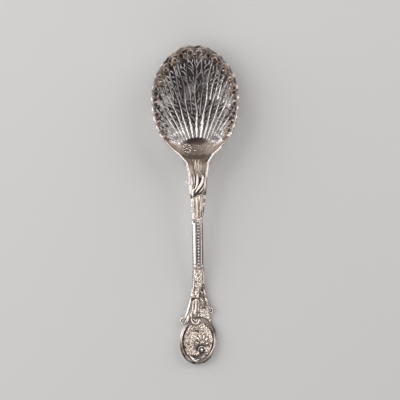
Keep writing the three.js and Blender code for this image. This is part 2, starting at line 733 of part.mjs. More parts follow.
// The edges of what lies between the rails, and the bowl's rim past the heel.
const heelRimY = (x) => BOWL_Y - BOWL_BACK * halfRound(x / BOWL_HALF_WIDTH);
const railsFade = (y) => smooth((y - TWIST_LEFT_Y - 2 * RAIL_CURL) / (2.75 * RAIL_CURL));
const railClear = (y) => lerp(GAP - railInset, RAIL_RADIUS + 2 * GAP, railsFade(y));
const innerLeft = (y) => railMiddle(-1, y) + railClear(y);
const innerRight = (y) => railMiddle(1, y) - railClear(y);

// The slanting line where the neck leaf turns over into the sheath.
function twistY(x) {
  const middle = (TWIST_LEFT_Y + TWIST_RIGHT_Y) / 2;
  const share = (x - leftSide(middle)) / (rightSide(middle) - leftSide(middle));
  return lerp(TWIST_LEFT_Y, TWIST_RIGHT_Y, share);
}

const neckLeaf = () => relief({
  rows: 9,
  columns: NECK_FLUTES * 4,
  front: () => NECK_LEAF_FRONT_Y,
  knee: heelRimY,
  back: twistY,
  left: innerLeft,
  right: innerRight,
  floor: (x, y) => (y > heelRimY(x) + 1e-6 ? basinHeight(x, y) + GAP : RIM_Z),
  height: (along, across) => {
    const flute = (NECK_FLUTE_DEPTH / 2) * (1 + Math.cos(across * NECK_FLUTES * 2 * Math.PI));
    const swell = lerp(0.45, 1, smooth(along * 3)) * (0.35 + 0.65 * halfRound(2 * across - 1));
    return NECK_LEAF_HEIGHT * swell - flute * 0.6;
  },
});

const leafSheath = () => relief({
  rows: 8,
  columns: 8,
  front: (x) => twistY(x) - 2 * GAP,
  back: () => MOULDING_FRONT_Y + 2 * GAP,
  left: (y) => leftSide(y) + 2 * NUB_RADIUS,
  right: (y) => rightSide(y) - GAP
    - smooth((y - TWIST_LEFT_Y + 6 * NECK_SCROLL_SIZE) / (2 * NECK_SCROLL_SIZE)) * 2 * NECK_SCROLL_SIZE,
  height: (along, across) =>
    SHEATH_HEIGHT * lerp(1, 0.75, along) * (0.3 + 0.7 * halfRound(2 * across - 1)),
});

// A row of beads on a wire, along the handle.
function beadWire(x, frontY, pitch, count, radius, floorAt = coreTop) {
  const length = pitch * count;
  const rings = steps(count * 4).map((t) => {
    const y = frontY - t * length;
    const off = (((t * count) % 1) - 0.5) * pitch;
    const waist = radius * 0.45;
    const size = Math.max(waist, radius * halfRound(clamp(off / (pitch / 2), -1, 1)));
    const xHere = typeof x === "function" ? x(y) : x;
    return ring(vec(xHere, y, floorAt(y) + GAP + radius), vec(1, 0, 0), up, size, size, 6);
  });
  return loft(rings);
}

const nubX = (y) => leftSide(y) + NUB_RADIUS * 0.7;

const moulding = (left, right) => relief({
  rows: 8,
  columns: 6,
  front: () => MOULDING_FRONT_Y,
  back: () => MOULDING_BACK_Y,
  left,
  right,
  height: (along, across) => MOULDING_HEIGHT * (0.25 + 0.75 * halfRound(2 * across - 1)),
});
const channelLeft = BEAD_CHANNEL_X - BEAD_RADIUS - 2 * GAP;
const channelRight = BEAD_CHANNEL_X + BEAD_RADIUS + 2 * GAP;
const BEADS = Math.floor((MOULDING_FRONT_Y - MOULDING_BACK_Y - BEAD_END_ROOM) / BEAD_PITCH);

// The flower drop hangs in whorls, and yields to the leaf cluster on its right.
const clusterLeft = (y) =>
  STEM_HALF_WIDTH * lerp(0.85, 0.24, smooth((CLUSTER_FRONT_Y - y) / (1.5 * STEM_HALF_WIDTH)));
const ruffle = (distance) => RUFFLE_DEPTH * Math.abs(Math.sin((distance / RUFFLE_PITCH) * Math.PI));
const WING_ROOM = WING_RADIUS + WING_INSET + GAP;
const WING_FRONT_Y = FLOWER_BACK_Y + WING_START;
const besideWing = (y) => WING_ROOM * smooth((WING_FRONT_Y + 4.5 * WING_RADIUS - y) / (3 * WING_RADIUS));

const flowerDrop = () => relief({
  rows: FLOWER_WHORLS * 4,
  columns: 6,
  front: () => MOULDING_BACK_Y - 2 * GAP,
  back: () => FLOWER_BACK_Y,
  left: (y) => leftSide(y) + GAP + besideWing(y) + ruffle(y - FLOWER_BACK_Y),
  right: (y) => Math.min(rightSide(y) - GAP, clusterLeft(y) - 2 * GAP),
  height: (along, across) => {
    const whorl = (along * FLOWER_WHORLS) % 1;
    return FLOWER_HEIGHT * (0.3 + 0.7 * halfRound(2 * across - 1)) * (1 - 0.45 * whorl);
  },
});

const leafCluster = () => relief({
  rows: 12,
  columns: 5,
  front: () => CLUSTER_FRONT_Y,
  back: () => CLUSTER_BACK_Y,
  left: clusterLeft,
  right: (y) => rightSide(y) - GAP - besideWing(y) - ruffle(y - CLUSTER_BACK_Y),
  height: (along, across) => CLUSTER_HEIGHT
    * (0.3 + 0.7 * halfRound(2 * across - 1)) * (0.75 + 0.25 * Math.cos(along * 8 * Math.PI)),
});

const acanthus = () => relief({
  rows: 8,
  columns: 8,
  front: () => FLOWER_BACK_Y - 2 * GAP,
  back: (x) => Math.max(ACANTHUS_BACK_Y, ovalTop(x) + 2 * GAP),
  left: (y) => leftSide(y) + WING_RADIUS + WING_INSET + 2 * GAP,
  right: (y) => clusterLeft(y) - 2 * GAP,
  height: (along, across) => ACANTHUS_HEIGHT
    * (0.25 + 0.75 * halfRound(2 * across - 1)) * (0.8 + 0.2 * Math.cos(along * 4 * Math.PI)),
});

// A wing runs down one edge of the core, from a start over a length, and curls outwards.
function wing(side, length, size) {
  const away = side < 0 ? leftSide : rightSide;
  const path = steps(3).map((share) => {
    const y = WING_FRONT_Y - share * length;
    return [away(y) - side * WING_INSET, y];
  });
  return scroll(path, WING_RADIUS, size, side * 0.5, 22);
}

// A small volute at the core's right edge.
const neckScroll = (y) => {
  const size = NECK_SCROLL_SIZE;
  const x = rightSide(y) - NECK_SCROLL_RADIUS / 2;
  const start = [[x - 1.27 * size, y + 1.07 * size], [x - 0.47 * size, y + 1.27 * size]];
  return scroll(start, NECK_SCROLL_RADIUS, size, -0.6, 10);
};

// The cartouche

const fieldShare = (x, y) => {
  const local = new THREE.Vector2(x, y).sub(ovalMiddle).rotateAround(origin, radians(OVAL_LEAN));
  return Math.hypot(local.x / OVAL_HALF_WIDTH, local.y / OVAL_HALF_LENGTH);
};
const plateTop = (x, y) => {
  const share = Math.min(1, fieldShare(x, y) / 0.84);
  return PLATE_EDGE - PLATE_DISH * (1 - share ** 2) ** 2 * (share < 1 ? 1 : 0);
};
const onPlate = (x, y, height) =>
  ({ top: vec(x, y, plateTop(x, y) + GAP + height), bottom: vec(x, y, plateTop(x, y) + GAP) });

function plate() {
  return medallion({
    x: 0,
    y: 0,
    rings: 6,
    sectors: 32,
    reach: () => 1,
    height: () => 0,
    place: (x, y) => {
      const edge = oval(Math.atan2(x, y));
      const plan = ovalMiddle.clone().lerp(edge, Math.hypot(x, y));
      return { top: vec(plan.x, plan.y, plateTop(plan.x, plan.y)), bottom: vec(plan.x, plan.y, 0) };
    },
  });
}

function frameArc(from, to) {
  const radiusAt = (t) => FRAME_RADIUS * (0.7 + 0.3 * halfRound(2 * t - 1));
  const points = steps(24).map((share) => {
    const plan = oval(radians(lerp(from, to, share)), FRAME_RADIUS);
    return vec(plan.x, plan.y, PLATE_EDGE + GAP + radiusAt(share));
  });
  return bar(new THREE.CatmullRomCurve3(points), 28, 7, radiusAt);
}

// Foliage lies along the inside of the frame, leaf by leaf.
const foliage = (from, to) => slab(FOLIAGE_LEAVES * 4, 4, (along, across) => {
  const leaf = (along * FOLIAGE_LEAVES) % 1;
  const depth = FOLIAGE_REACH * Math.sin(Math.PI * lerp(0.12, 0.88, along)) * (0.7 + 0.3 * Math.sin(leaf * Math.PI));
  const plan = oval(radians(lerp(from, to, along)), 2 * FRAME_RADIUS + 2 * GAP + across * depth);
  return onPlate(plan.x, plan.y, FOLIAGE_HEIGHT * (0.35 + 0.65 * halfRound(2 * across - 1)));
});

const dome = (share) => 0.25 + 0.75 * halfRound(share);

const crest = () => medallion({
  x: OVAL_X - 0.12 * FIELD_HALF_WIDTH,
  y: OVAL_Y + 0.87 * FIELD_HALF_LENGTH,
  rings: 3,
  sectors: 16,
  reach: (angle) => CREST_SIZE * (0.88 + 0.12 * Math.cos(angle * 5)),
  height: (share) => CREST_HEIGHT * dome(share),
  place: onPlate,
});

const shell = () => medallion({
  x: OVAL_X + 0.263 * FIELD_HALF_WIDTH,
  y: OVAL_Y + 0.075 * FIELD_HALF_LENGTH,
  rings: 3,
  sectors: SHELL_PETALS * 4,
  reach: (angle) => SHELL_SIZE * (0.62 + 0.24 * Math.cos(angle) + 0.14 * Math.abs(Math.cos((angle * SHELL_PETALS) / 2))),
  height: (share) => SHELL_HEIGHT * dome(share),
  place: onPlate,
});

const pearl = () => medallion({
  x: OVAL_X + 0.263 * FIELD_HALF_WIDTH,
  y: OVAL_Y - SHELL_SIZE - 0.06 * FIELD_HALF_LENGTH,
  rings: 3,
  sectors: 14,
  reach: () => PEARL_RADIUS,
  height: (share) => PEARL_RADIUS * dome(share),
  place: onPlate,
});

const bottomScroll = () => {
  const radiusAt = (t) => FRAME_RADIUS * (0.55 + 0.35 * halfRound(2 * t - 1));
  const points = [208, 198, 185, 172, 163].map((degrees, i) => {
    const plan = oval(radians(degrees), FRAME_RADIUS * (3.1 + 0.25 * i) + 2 * GAP);
    return vec(plan.x, plan.y, PLATE_EDGE + GAP + radiusAt(i / 4));
  });
  return bar(new THREE.CatmullRomCurve3(points), 14, 7, radiusAt);
};

// Ornaments in the bowl's heel
const inHeel = (x, y, height) => ({ top: inBasin(x, y, -GAP - height), bottom: inBasin(x, y, -GAP) });

const rosette = () => medallion({
  x: -0.217 * BOWL_HALF_WIDTH,
  y: HEEL_Y + 0.195 * BOWL_BACK,
  rings: 3,
  sectors: 20,
  reach: (angle) => ROSETTE_RADIUS * (0.93 + 0.07 * Math.cos(angle * 5)),
  height: (share) => ROSETTE_HEIGHT * dome(share),
  place: inHeel,
});

const heelLeaf = () => medallion({
  x: 0.1985 * BOWL_HALF_WIDTH,
  y: HEEL_Y + 0.205 * BOWL_BACK,
  rings: 3,
  sectors: 20,
  reach: (angle) => HEEL_LEAF_SIZE * (0.85 + 0.15 * Math.cos(angle * 3)),
  height: (share) => ROSETTE_HEIGHT * dome(share),
  place: inHeel,
});

const heelBead = () => medallion({
  x: -0.0184 * BOWL_HALF_WIDTH,
  y: HEEL_Y + 0.1615 * BOWL_BACK,
  rings: 3,
  sectors: 12,
  reach: () => HEEL_BEAD_RADIUS,
  height: (share) => HEEL_BEAD_RADIUS * 0.8 * dome(share),
  place: inHeel,
});

// Finishes: the polished handle, the raised bowl and the pieces with tarnish in their relief.
const bright = { color: 0xd9d4cf, roughness: 0.22 };
const bowl = { color: 0xcfc9c2, roughness: 0.28 };
const toned = { color: 0xb8aea1, roughness: 0.36 };
const root = new THREE.Group();

function piece(name, geometry, finish = bright) {
  const mesh = new THREE.Mesh(geometry, new THREE.MeshStandardMaterial({ ...finish, metalness: 1 }));
  mesh.name = name;
  root.add(mesh);
}

piece("bowl_pierced_shell", piercedBowl(), bowl);
piece("bowl_rim_wire", rimWire());
piece("heel_rosette", rosette(), toned);
piece("heel_leaf", heelLeaf(), toned);
piece("heel_bead", heelBead());
piece("handle_core", handleCore(), toned);
piece("shoulder_rail_left", neckRail(-1, -0.7));
piece("shoulder_rail_right", neckRail(1, 0));
piece("neck_leaf", neckLeaf(), toned);
piece("neck_nubs", beadWire(nubX, TWIST_LEFT_Y - 1.8 * NUB_RADIUS, NUB_PITCH, NUBS, NUB_RADIUS));
piece("neck_scroll_upper", neckScroll(TWIST_LEFT_Y + 0.3 * NECK_SCROLL_SIZE));
piece("neck_scroll_lower", neckScroll(TWIST_LEFT_Y - 3.05 * NECK_SCROLL_SIZE));
piece("leaf_sheath", leafSheath(), toned);
piece("stem_moulding_left", moulding((y) => leftSide(y) + GAP, () => channelLeft));
piece("stem_moulding_right", moulding(() => channelRight, (y) => rightSide(y) - GAP));
piece("stem_bead_wire", beadWire(BEAD_CHANNEL_X, MOULDING_FRONT_Y - 0.6 * BEAD_RADIUS, BEAD_PITCH, BEADS, BEAD_RADIUS));
piece("flower_drop", flowerDrop(), toned);
piece("leaf_cluster", leafCluster(), toned);
piece("acanthus_leaf", acanthus(), toned);
piece("wing_scroll_left", wing(-1, WING_LEFT_LENGTH, WING_LEFT_CURL));
piece("wing_scroll_right", wing(1, WING_RIGHT_LENGTH, WING_RIGHT_CURL));
piece("cartouche_plate", plate(), toned);
piece("cartouche_frame_left", frameArc(-42, -176));
piece("cartouche_frame_right", frameArc(16, 158));
piece("cartouche_crest", crest(), toned);
piece("cartouche_shell", shell(), toned);
piece("cartouche_pearl", pearl());
piece("cartouche_foliage_left", foliage(-60, -138), toned);
piece("cartouche_foliage_right", foliage(45, 140), toned);
piece("cartouche_bottom_scroll", bottomScroll());

export default root;
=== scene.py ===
import math
from functools import lru_cache

import bpy
import numpy as np
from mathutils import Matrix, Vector, kdtree


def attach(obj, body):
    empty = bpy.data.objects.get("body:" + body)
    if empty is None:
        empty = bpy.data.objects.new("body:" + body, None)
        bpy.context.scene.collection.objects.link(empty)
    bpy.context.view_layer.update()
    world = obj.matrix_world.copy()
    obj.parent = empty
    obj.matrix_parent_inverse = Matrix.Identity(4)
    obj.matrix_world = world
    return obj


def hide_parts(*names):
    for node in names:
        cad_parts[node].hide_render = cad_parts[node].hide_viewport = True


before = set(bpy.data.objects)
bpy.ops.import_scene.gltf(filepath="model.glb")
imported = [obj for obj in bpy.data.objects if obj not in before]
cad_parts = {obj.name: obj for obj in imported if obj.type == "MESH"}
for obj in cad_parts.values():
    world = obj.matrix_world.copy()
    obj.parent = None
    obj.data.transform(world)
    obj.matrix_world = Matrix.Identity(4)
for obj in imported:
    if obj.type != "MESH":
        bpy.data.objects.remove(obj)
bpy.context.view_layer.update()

bl_info = {
    "name": "Silver sifter spoon",
    "version": (1, 0, 0),
    "blender": (4, 5, 0),
    "location": "View3D > Sidebar > Spoon",
    "description": "Builds a pierced silver sifter spoon with its rococo handle, finish by finish",
    "category": "Add Mesh",
}

MM = 0.001
SHARP_ANGLE = math.radians(50)

# The bowl's form, in millimetres along the spoon: X across, Y towards the bowl's tip, Z up.
TIP_Y = 102.75
HALF_WIDTH = 27.2
FRONT = 33.7
BACK = 39.0
DEPTH = 16.5
STEEPNESS = 0.85
SHEET = 0.9
WORN = 0.15
SHOULDER = math.radians(130)
BOWL_Y = TIP_Y - FRONT
HEEL_Y = BOWL_Y - BACK

# Lobes and the fan that they spring from.
LOBES = 20
TIP_LOBE, WIDE_LOBE, NARROW_LOBE = 12.4, 8.7, 5.2
LOBE_BULGE = 0.11
FLUTE_DEPTH = 0.5
FAN_X, FAN_FROM_HEEL, FAN_HALF_WIDTH, FAN_HEIGHT = 0.6, 8.5, 11.0, 6.3
FAN_SPREAD = math.radians(80)

# The handle.
GAP = 0.15
END_Y = -105.0
OVAL_X, OVAL_HALF_WIDTH, OVAL_HALF_LENGTH = -0.7, 12.2, 15.7
OVAL_LEAN = math.radians(8)
OVAL_REACH = math.hypot(OVAL_HALF_LENGTH * math.cos(OVAL_LEAN), OVAL_HALF_WIDTH * math.sin(OVAL_LEAN))
OVAL_Y = END_Y + OVAL_REACH
OVAL_TOP_Y = OVAL_Y + OVAL_REACH
FRAME_RADIUS = 1.12
ARCH_TOP_Y = 16.0
ARCH_FOOT_Y = OVAL_TOP_Y - 6.3
NECK_THICKNESS, STEM_THICKNESS = 3.2, 2.2
STEM_HALF_WIDTH = 3.75
PLATE_EDGE, PLATE_DISH, PLATE_FIELD = 2.0, 0.7, 0.84
RIM_WIRE_RADIUS = 0.65
RAIL_RADIUS, RAIL_INSET, RAIL_CURL = 0.85, 0.51, 1.45
RAIL_LENGTHS = {-1: 14.5, 1: 13}
TWIST_LEFT_Y, TWIST_RIGHT_Y = 4.0, 9.0
MOULDING_START, MOULDING_END = -9.0, -41.5
CHANNEL_X, CHANNEL_HALF_WIDTH = 0.5, 0.95

# Edges of the forged bar, in stem half-widths from the middle line, at shares of the way from heel to oval.
CORE_DOWN = [0, 0.04, 0.107, 0.193, 0.28, 0.367, 0.675, 0.81, 0.906, 1]
CORE_LEFT = [-2.03, -1.68, -1.31, -1.23, -1.04, -0.96, -0.96, -1.17, -1.63, -2.45]
CORE_RIGHT = [2.3, 2.21, 1.95, 1.71, 1.39, 1.04, 1.04, 1.17, 1.68, 2.29]

# The picture: the millimetres that one pixel stands for, the row where y is 0, and the spoon's middle line,
# which leans a little.
PIXEL = 0.658
ORIGIN_PY = 205.5
AXIS_PX, AXIS_PY, AXIS_RUN = 195.2, 100, 60


def smooth(t):
    t = np.clip(t, 0, 1)
    return t * t * (3 - 2 * t)


def lerp(a, b, t):
    return a + (b - a) * t


def half_round(s):
    return np.sqrt(np.maximum(0, 1 - np.square(s)))


def bell(t):
    return np.exp(-np.square(t))


def least(*values):
    return np.minimum.reduce(values)


def seen(points):
    """Places on the spoon, in millimetres, for pixels of the picture."""
    px, py = np.asarray(points, float).T
    axis = AXIS_PX + (py - AXIS_PY) / AXIS_RUN
    return np.stack([(px - axis) * PIXEL, (ORIGIN_PY - py) * PIXEL], -1)


# The bowl's surfaces

def egg(angle, share=1.0):
    angle = np.asarray(angle, float)
    reach = np.where(np.cos(angle) < 0, BACK, FRONT)
    return np.stack([share * HALF_WIDTH * np.sin(angle), BOWL_Y + share * reach * np.cos(angle)], -1)


FAN_APEX_Y = HEEL_Y + FAN_FROM_HEEL + FAN_HEIGHT
DEEPEST = (BOWL_Y - FAN_APEX_Y) / (TIP_Y - FAN_APEX_Y)
FLOOR = SHEET + FLUTE_DEPTH * DEEPEST ** 0.7 - WORN
RIM_Z = FLOOR + DEPTH


def out_share(x, y):
    """How far out a place lies in the bowl's plan: 0 at its middle and 1 at the rim's egg."""
    return np.hypot(x / HALF_WIDTH, (y - BOWL_Y) / np.where(y < BOWL_Y, BACK, FRONT))


def basin(x, y):
    """Height of the plain basin."""
    def curve(t):
        return 1 - np.sqrt(1 - np.square(STEEPNESS * t))
    return FLOOR + DEPTH * curve(np.minimum(1, out_share(x, y))) / curve(1.0)


def basin_normal(x, y, step=0.05):
    x, y = x * 0.995, (y - BOWL_Y) * 0.995 + BOWL_Y
    slope_x = (basin(x + step, y) - basin(x - step, y)) / (2 * step)
    slope_y = (basin(x, y + step) - basin(x, y - step)) / (2 * step)
    normal = np.stack([-slope_x, -slope_y, np.ones_like(slope_x)], -1)
    return normal / np.linalg.norm(normal, axis=-1, keepdims=True)


def lobe_widths():
    from_tip = np.abs(np.arange(LOBES) - (LOBES - 1) / 2) - 0.5
    return np.where(from_tip < 0.5, TIP_LOBE, lerp(WIDE_LOBE, NARROW_LOBE, (from_tip - 1) / (LOBES / 2 - 2)))


WIDTHS = lobe_widths()
RIM_ANGLES = np.linspace(-SHOULDER, SHOULDER, 721)
RIM_LENGTHS = np.concatenate([[0], np.cumsum(np.linalg.norm(np.diff(egg(RIM_ANGLES), axis=0), axis=1))])


def rim_plan(u):
    share = np.interp(u, np.arange(LOBES + 1), np.concatenate([[0], np.cumsum(WIDTHS)])) / WIDTHS.sum()
    return egg(np.interp(share * RIM_LENGTHS[-1], RIM_LENGTHS, RIM_ANGLES))


def fan_plan(u):
    angle = FAN_SPREAD * np.sin((np.asarray(u, float) / LOBES - 0.5) * math.pi)
    return np.stack([FAN_X + FAN_HALF_WIDTH * np.sin(angle),
                     HEEL_Y + FAN_FROM_HEEL + FAN_HEIGHT * np.cos(angle)], -1)


def rib_length(u):
    return np.linalg.norm(rim_plan(u) - fan_plan(u), axis=-1)


def across_lobe(u):
    """The lobe's number, and how far its flute bulges there: 0 at its ribs and 1 in its middle."""
    lobe = np.minimum(LOBES - 1, np.floor(u)).astype(int)
    share = u - lobe
    return lobe, 4 * share * (1 - share)


def flute(v):
    return FLUTE_DEPTH * np.maximum(v, 0) ** 0.7


def lobed(u, v):
    """Plan place and height of the fluted bowl at rib coordinate u, a share v of the way from fan to rim."""
    u, v = np.broadcast_arrays(np.asarray(u, float), np.asarray(v, float))
    lobe, bulge = across_lobe(u)
    plain = lerp(fan_plan(u), rim_plan(u), v[..., None])
    outwards = plain - np.array([0, BOWL_Y])
    outwards /= np.linalg.norm(outwards, axis=-1, keepdims=True)
    reach = LOBE_BULGE * WIDTHS[lobe] * bulge * np.maximum(v, 0) ** 1.5
    height = basin(plain[..., 0], plain[..., 1]) - flute(v) * bulge
    return plain + outwards * reach[..., None], height


# Meshes

def walled(tops, bottoms, faces):
    """Points and faces of a closed sheet: its faces are given once and its open edges get walls."""
    count = len(tops)
    edges = np.concatenate([faces[:, [0, 1]], faces[:, [1, 2]], faces[:, [2, 0]]])
    keys = edges[:, 0] * count + edges[:, 1]
    rim = edges[~np.isin(keys, edges[:, 1] * count + edges[:, 0])]
    i, j = rim[:, 0], rim[:, 1]
    walls = np.concatenate([np.stack([j, i, i + count], 1), np.stack([j, i + count, j + count], 1)])
    under = faces[:, ::-1] + count
    return np.concatenate([tops, bottoms]), np.concatenate([faces, under, walls])


def walled_grid(tops, bottoms):
    """Points and faces of a closed sheet over a grid of rows and columns, two triangles to a cell."""
    rows, columns, _ = tops.shape
    i, j = np.meshgrid(np.arange(rows - 1), np.arange(columns - 1), indexing="ij")
    a = (i * columns + j).ravel()
    b = a + 1
    faces = np.concatenate([np.stack([a, a + columns, b + columns], 1), np.stack([a, b + columns, b], 1)])
    return walled(tops.reshape(-1, 3), bottoms.reshape(-1, 3), faces)


def cell_walks():
    """Walks round the metal in a cell with 1 to 3 corners, or two opposite ones, in the metal. Numbers 0 to 3
    are the cell's corners, and 4 to 7 the crossings on the sides that follow them."""
    walks = {}
    for case in range(1, 15):
        inside = [bool(case >> k & 1) for k in range(4)]
        walks[case] = []
        for k in range(4):
            walks[case] += [k] if inside[k] else []
            walks[case] += [4 + k] if inside[k] != inside[(k + 1) % 4] else []
    return walks


def cut_sheet(xs, ys, metal, layers, form, nearest=0.12):
    """Cuts a sheet out of a grid where metal is above 0. Layers are values at the grid's points, which are
    carried on to the cut's edge, edges follow the crests of form, and no cut comes nearer to a grid point
    than the given share of a cell. Returns plan places, the layers there, and faces."""
    inside = metal > 0
    rows, columns = metal.shape
    grid_x, grid_y = np.meshgrid(xs, ys)
    values = np.stack([grid_x, grid_y, *layers], -1)
    ids = np.full((3, rows, columns), -1)
    ids[0][inside] = np.arange(inside.sum())
    points = [values[inside]]
    count = int(inside.sum())
    for kind, (da, db) in ((1, (0, 1)), (2, (1, 0))):
        low = (slice(0, rows - da), slice(0, columns - db))
        high = (slice(da, rows), slice(db, columns))
        crossing = inside[low] != inside[high]
        start, end = metal[low][crossing], metal[high][crossing]
        share = np.clip(start / (start - end), nearest, 1 - nearest)[:, None]
        points.append(lerp(values[low][crossing], values[high][crossing], share))
        ids[kind][low][crossing] = count + np.arange(len(share))
        count += len(share)
    bits = inside[:-1, :-1] * 1 + inside[:-1, 1:] * 2 + inside[1:, 1:] * 4 + inside[1:, :-1] * 8
    corner = [ids[0][:-1, :-1], ids[0][:-1, 1:], ids[0][1:, 1:], ids[0][1:, :-1],
              ids[1][:-1, :-1], ids[2][:-1, 1:], ids[1][1:, :-1], ids[2][:-1, :-1]]
    cross = np.abs(form[:-1, :-1] - form[1:, 1:]) > np.abs(form[:-1, 1:] - form[1:, :-1])
    walks = [(bits == number, walk) for number, walk in cell_walks().items()]
    walks += [((bits == 15) & ~cross, [0, 1, 2, 3]), ((bits == 15) & cross, [1, 2, 3, 0])]
    faces = []
    for cells, walk in walks:
        ring = [corner[k][cells] for k in walk]
        faces += [np.stack([ring[0], ring[k], ring[k + 1]], 1) for k in range(1, len(ring) - 1)]
    points = np.concatenate(points)
    return points[:, :2], points[:, 2:].T, np.concatenate(faces)


# Strokes: soft-edged lines of metal, from which leaves, veins and scrolls are drawn. Each is a line, its
# half-widths and its height.

FAR_OUTSIDE = -9.0
SPRIG_LOBES, SPRIG_OPENING = 5, 62
WINDS_IN_BY = 0.72


def bent(points, parts=5):
    """A smooth line through a few points, with so many parts between each two."""
    points = np.asarray(points, float)
    if len(points) < 3:
        return lerp(points[0], points[-1], np.linspace(0, 1, parts + 1)[:, None])
    before = 2 * points[0] - points[1]
    after = 2 * points[-1] - points[-2]
    knots = np.concatenate([[before], points, [after]])
    t = (np.arange(parts) / parts)[:, None]
    line = []
    for a, b, c, d in zip(knots, knots[1:], knots[2:], knots[3:]):
        line.append(0.5 * (2 * b + (c - a) * t + (2 * a - 5 * b + 4 * c - d) * t ** 2
                           + (3 * b - a - 3 * c + d) * t ** 3))
    return np.concatenate([*line, points[-1:]])


def stroke(points, width, height, ends="round"):
    """A stroke through a few places. Ends are round, leaf, drop or tail."""
    line = bent(points)
    t = np.linspace(0, 1, len(line))
    taper = {
        "round": np.ones_like(t),
        "leaf": 0.25 + 0.75 * np.sin(math.pi * t ** 0.8),
        "drop": 0.45 + 0.55 * smooth((t - 0.35) / 0.5),
        "tail": 1 - 0.65 * t,
    }[ends]
    return line, width * taper, height


def sprig(root, heading, size, height, opening):
    """A small leaf with rounded lobes that fan out from its root. Heading and opening are in degrees, the
    heading from +X."""
    made = []
    for k in np.linspace(-1, 1, SPRIG_LOBES):
        reach = size * (1 - 0.32 * abs(k))
        places = [np.asarray(root, float)]
        for share, turn in ((0.5, 1.25), (1.0, 1.0)):
            angle = math.radians(heading + opening * k * turn)
            places.append(places[0] + share * reach * np.array([math.cos(angle), math.sin(angle)]))
        made.append(stroke(places, 0.24 * size, height * (1 - 0.25 * abs(k)), "drop"))
    return made


def scattered(box, inside, pitch, size, heading, seed, height, margin=0.0, opening=SPRIG_OPENING):
    """Sprigs all over a region, on a jittered lattice. Inside gives how deep a place lies in the region, and
    heading the way that a sprig points there."""
    rng = np.random.default_rng(seed)
    (x0, y0), (x1, y1) = box
    made = []
    for row, y in enumerate(np.arange(y0, y1, pitch * 0.87)):
        for x in np.arange(x0 + (row % 2) * pitch / 2, x1, pitch):
            px, py = x + rng.uniform(-0.2, 0.2) * pitch, y + rng.uniform(-0.2, 0.2) * pitch
            turn, grow = rng.uniform(-28, 28), rng.uniform(0.85, 1.12)
            if float(inside(px, py)) > -margin:
                towards = heading(px, py) + turn * opening / SPRIG_OPENING
                made += sprig((px, py), towards, size * grow, height, opening)
    return made


def volute(centre, radius, start, turns, width, height):
    """A scroll that winds in to an eye. Start is the heading of its outer end, in degrees from +X."""
    t = np.linspace(0, 1, max(8, int(abs(turns) * 18)))
    angle = np.radians(start + 360 * turns * t)
    reach = radius * (1 - WINDS_IN_BY * t)
    line = np.asarray(centre) + reach[:, None] * np.stack([np.cos(angle), np.sin(angle)], -1)
    return [(line, width * (1 - 0.4 * t), height), dot(centre, width * 0.95, height * 1.1)]


def dot(centre, radius, height):
    centre = np.asarray(centre, float)
    return np.stack([centre, centre + 1e-3]), np.full(2, radius), height


def at_compass(centre, angle, reach):
    """The place at a reach from a centre. The angle is in radians, clockwise from +Y."""
    return centre[0] + reach * np.sin(angle), centre[1] + reach * np.cos(angle)


def arc_stroke(centre, radius, angles, width, height):
    return np.stack(at_compass(centre, angles, radius), -1), np.broadcast_to(width, len(angles)), height


class Carving:
    """Metal and relief over places in the plan: metal is the distance inside the strokes."""

    reach = 0.6

    def __init__(self, x, y):
        self.x, self.y = x, y
        self.metal = np.full(x.shape, FAR_OUTSIDE)
        self.relief = np.zeros(x.shape)

    def draw(self, strokes):
        for line, widths, height in strokes:
            for (x0, y0), (x1, y1), w0, w1 in zip(line, line[1:], widths, widths[1:]):
                room = max(w0, w1) + self.reach
                near = ((self.x > min(x0, x1) - room) & (self.x < max(x0, x1) + room)
                        & (self.y > min(y0, y1) - room) & (self.y < max(y0, y1) + room))
                if not near.any():
                    continue
                dx, dy = self.x[near] - x0, self.y[near] - y0
                length = math.hypot(x1 - x0, y1 - y0) + 1e-9
                along = np.clip((dx * (x1 - x0) + dy * (y1 - y0)) / length ** 2, 0, 1)
                away = np.hypot(dx - along * (x1 - x0), dy - along * (y1 - y0))
                width = lerp(w0, w1, along)
                self.metal[near] = np.maximum(self.metal[near], width - away)
                rise = np.minimum(height, 1.3 * width) * half_round(np.minimum(1, away / width)) ** 1.3
                self.relief[near] = np.maximum(self.relief[near], rise)
        return self


def softened(field):
    """A field over the grid, with each place a little like its neighbours."""
    for axis in (0, 1):
        field = np.moveaxis(field, axis, 0)
        inner = 0.25 * field[:-2] + 0.5 * field[1:-1] + 0.25 * field[2:]
        field = np.moveaxis(np.concatenate([field[:1], inner, field[-1:]]), 0, axis)
    return field


# Node trees

class Tree:
    """Adds nodes to a tree: a node's type and settings first, then the values or links of its sockets."""

    def __init__(self, tree):
        self.tree = tree

    def node(self, kind, settings=None, sockets=None, output=0):
        made = self.tree.nodes.new(kind)
        for name, value in (settings or {}).items():
            setattr(made, name, value)
        for key, value in (sockets or {}).items():
            self.feed(made.inputs[key], value)
        return Wire(self, made.outputs[output], made) if made.outputs else made

    def feed(self, socket, value):
        if isinstance(value, Wire):
            self.tree.links.new(value.socket, socket)
        else:
            socket.default_value = value

    def math(self, operation, a, b=0.0, clamp=False):
        return self.node("ShaderNodeMath", {"operation": operation, "use_clamp": clamp}, {0: a, 1: b})

    def mix(self, share, a, b):
        settings = {"data_type": "RGBA", "clamp_factor": True}
        return self.node("ShaderNodeMix", settings, {0: share, 6: a, 7: b}, output=2)


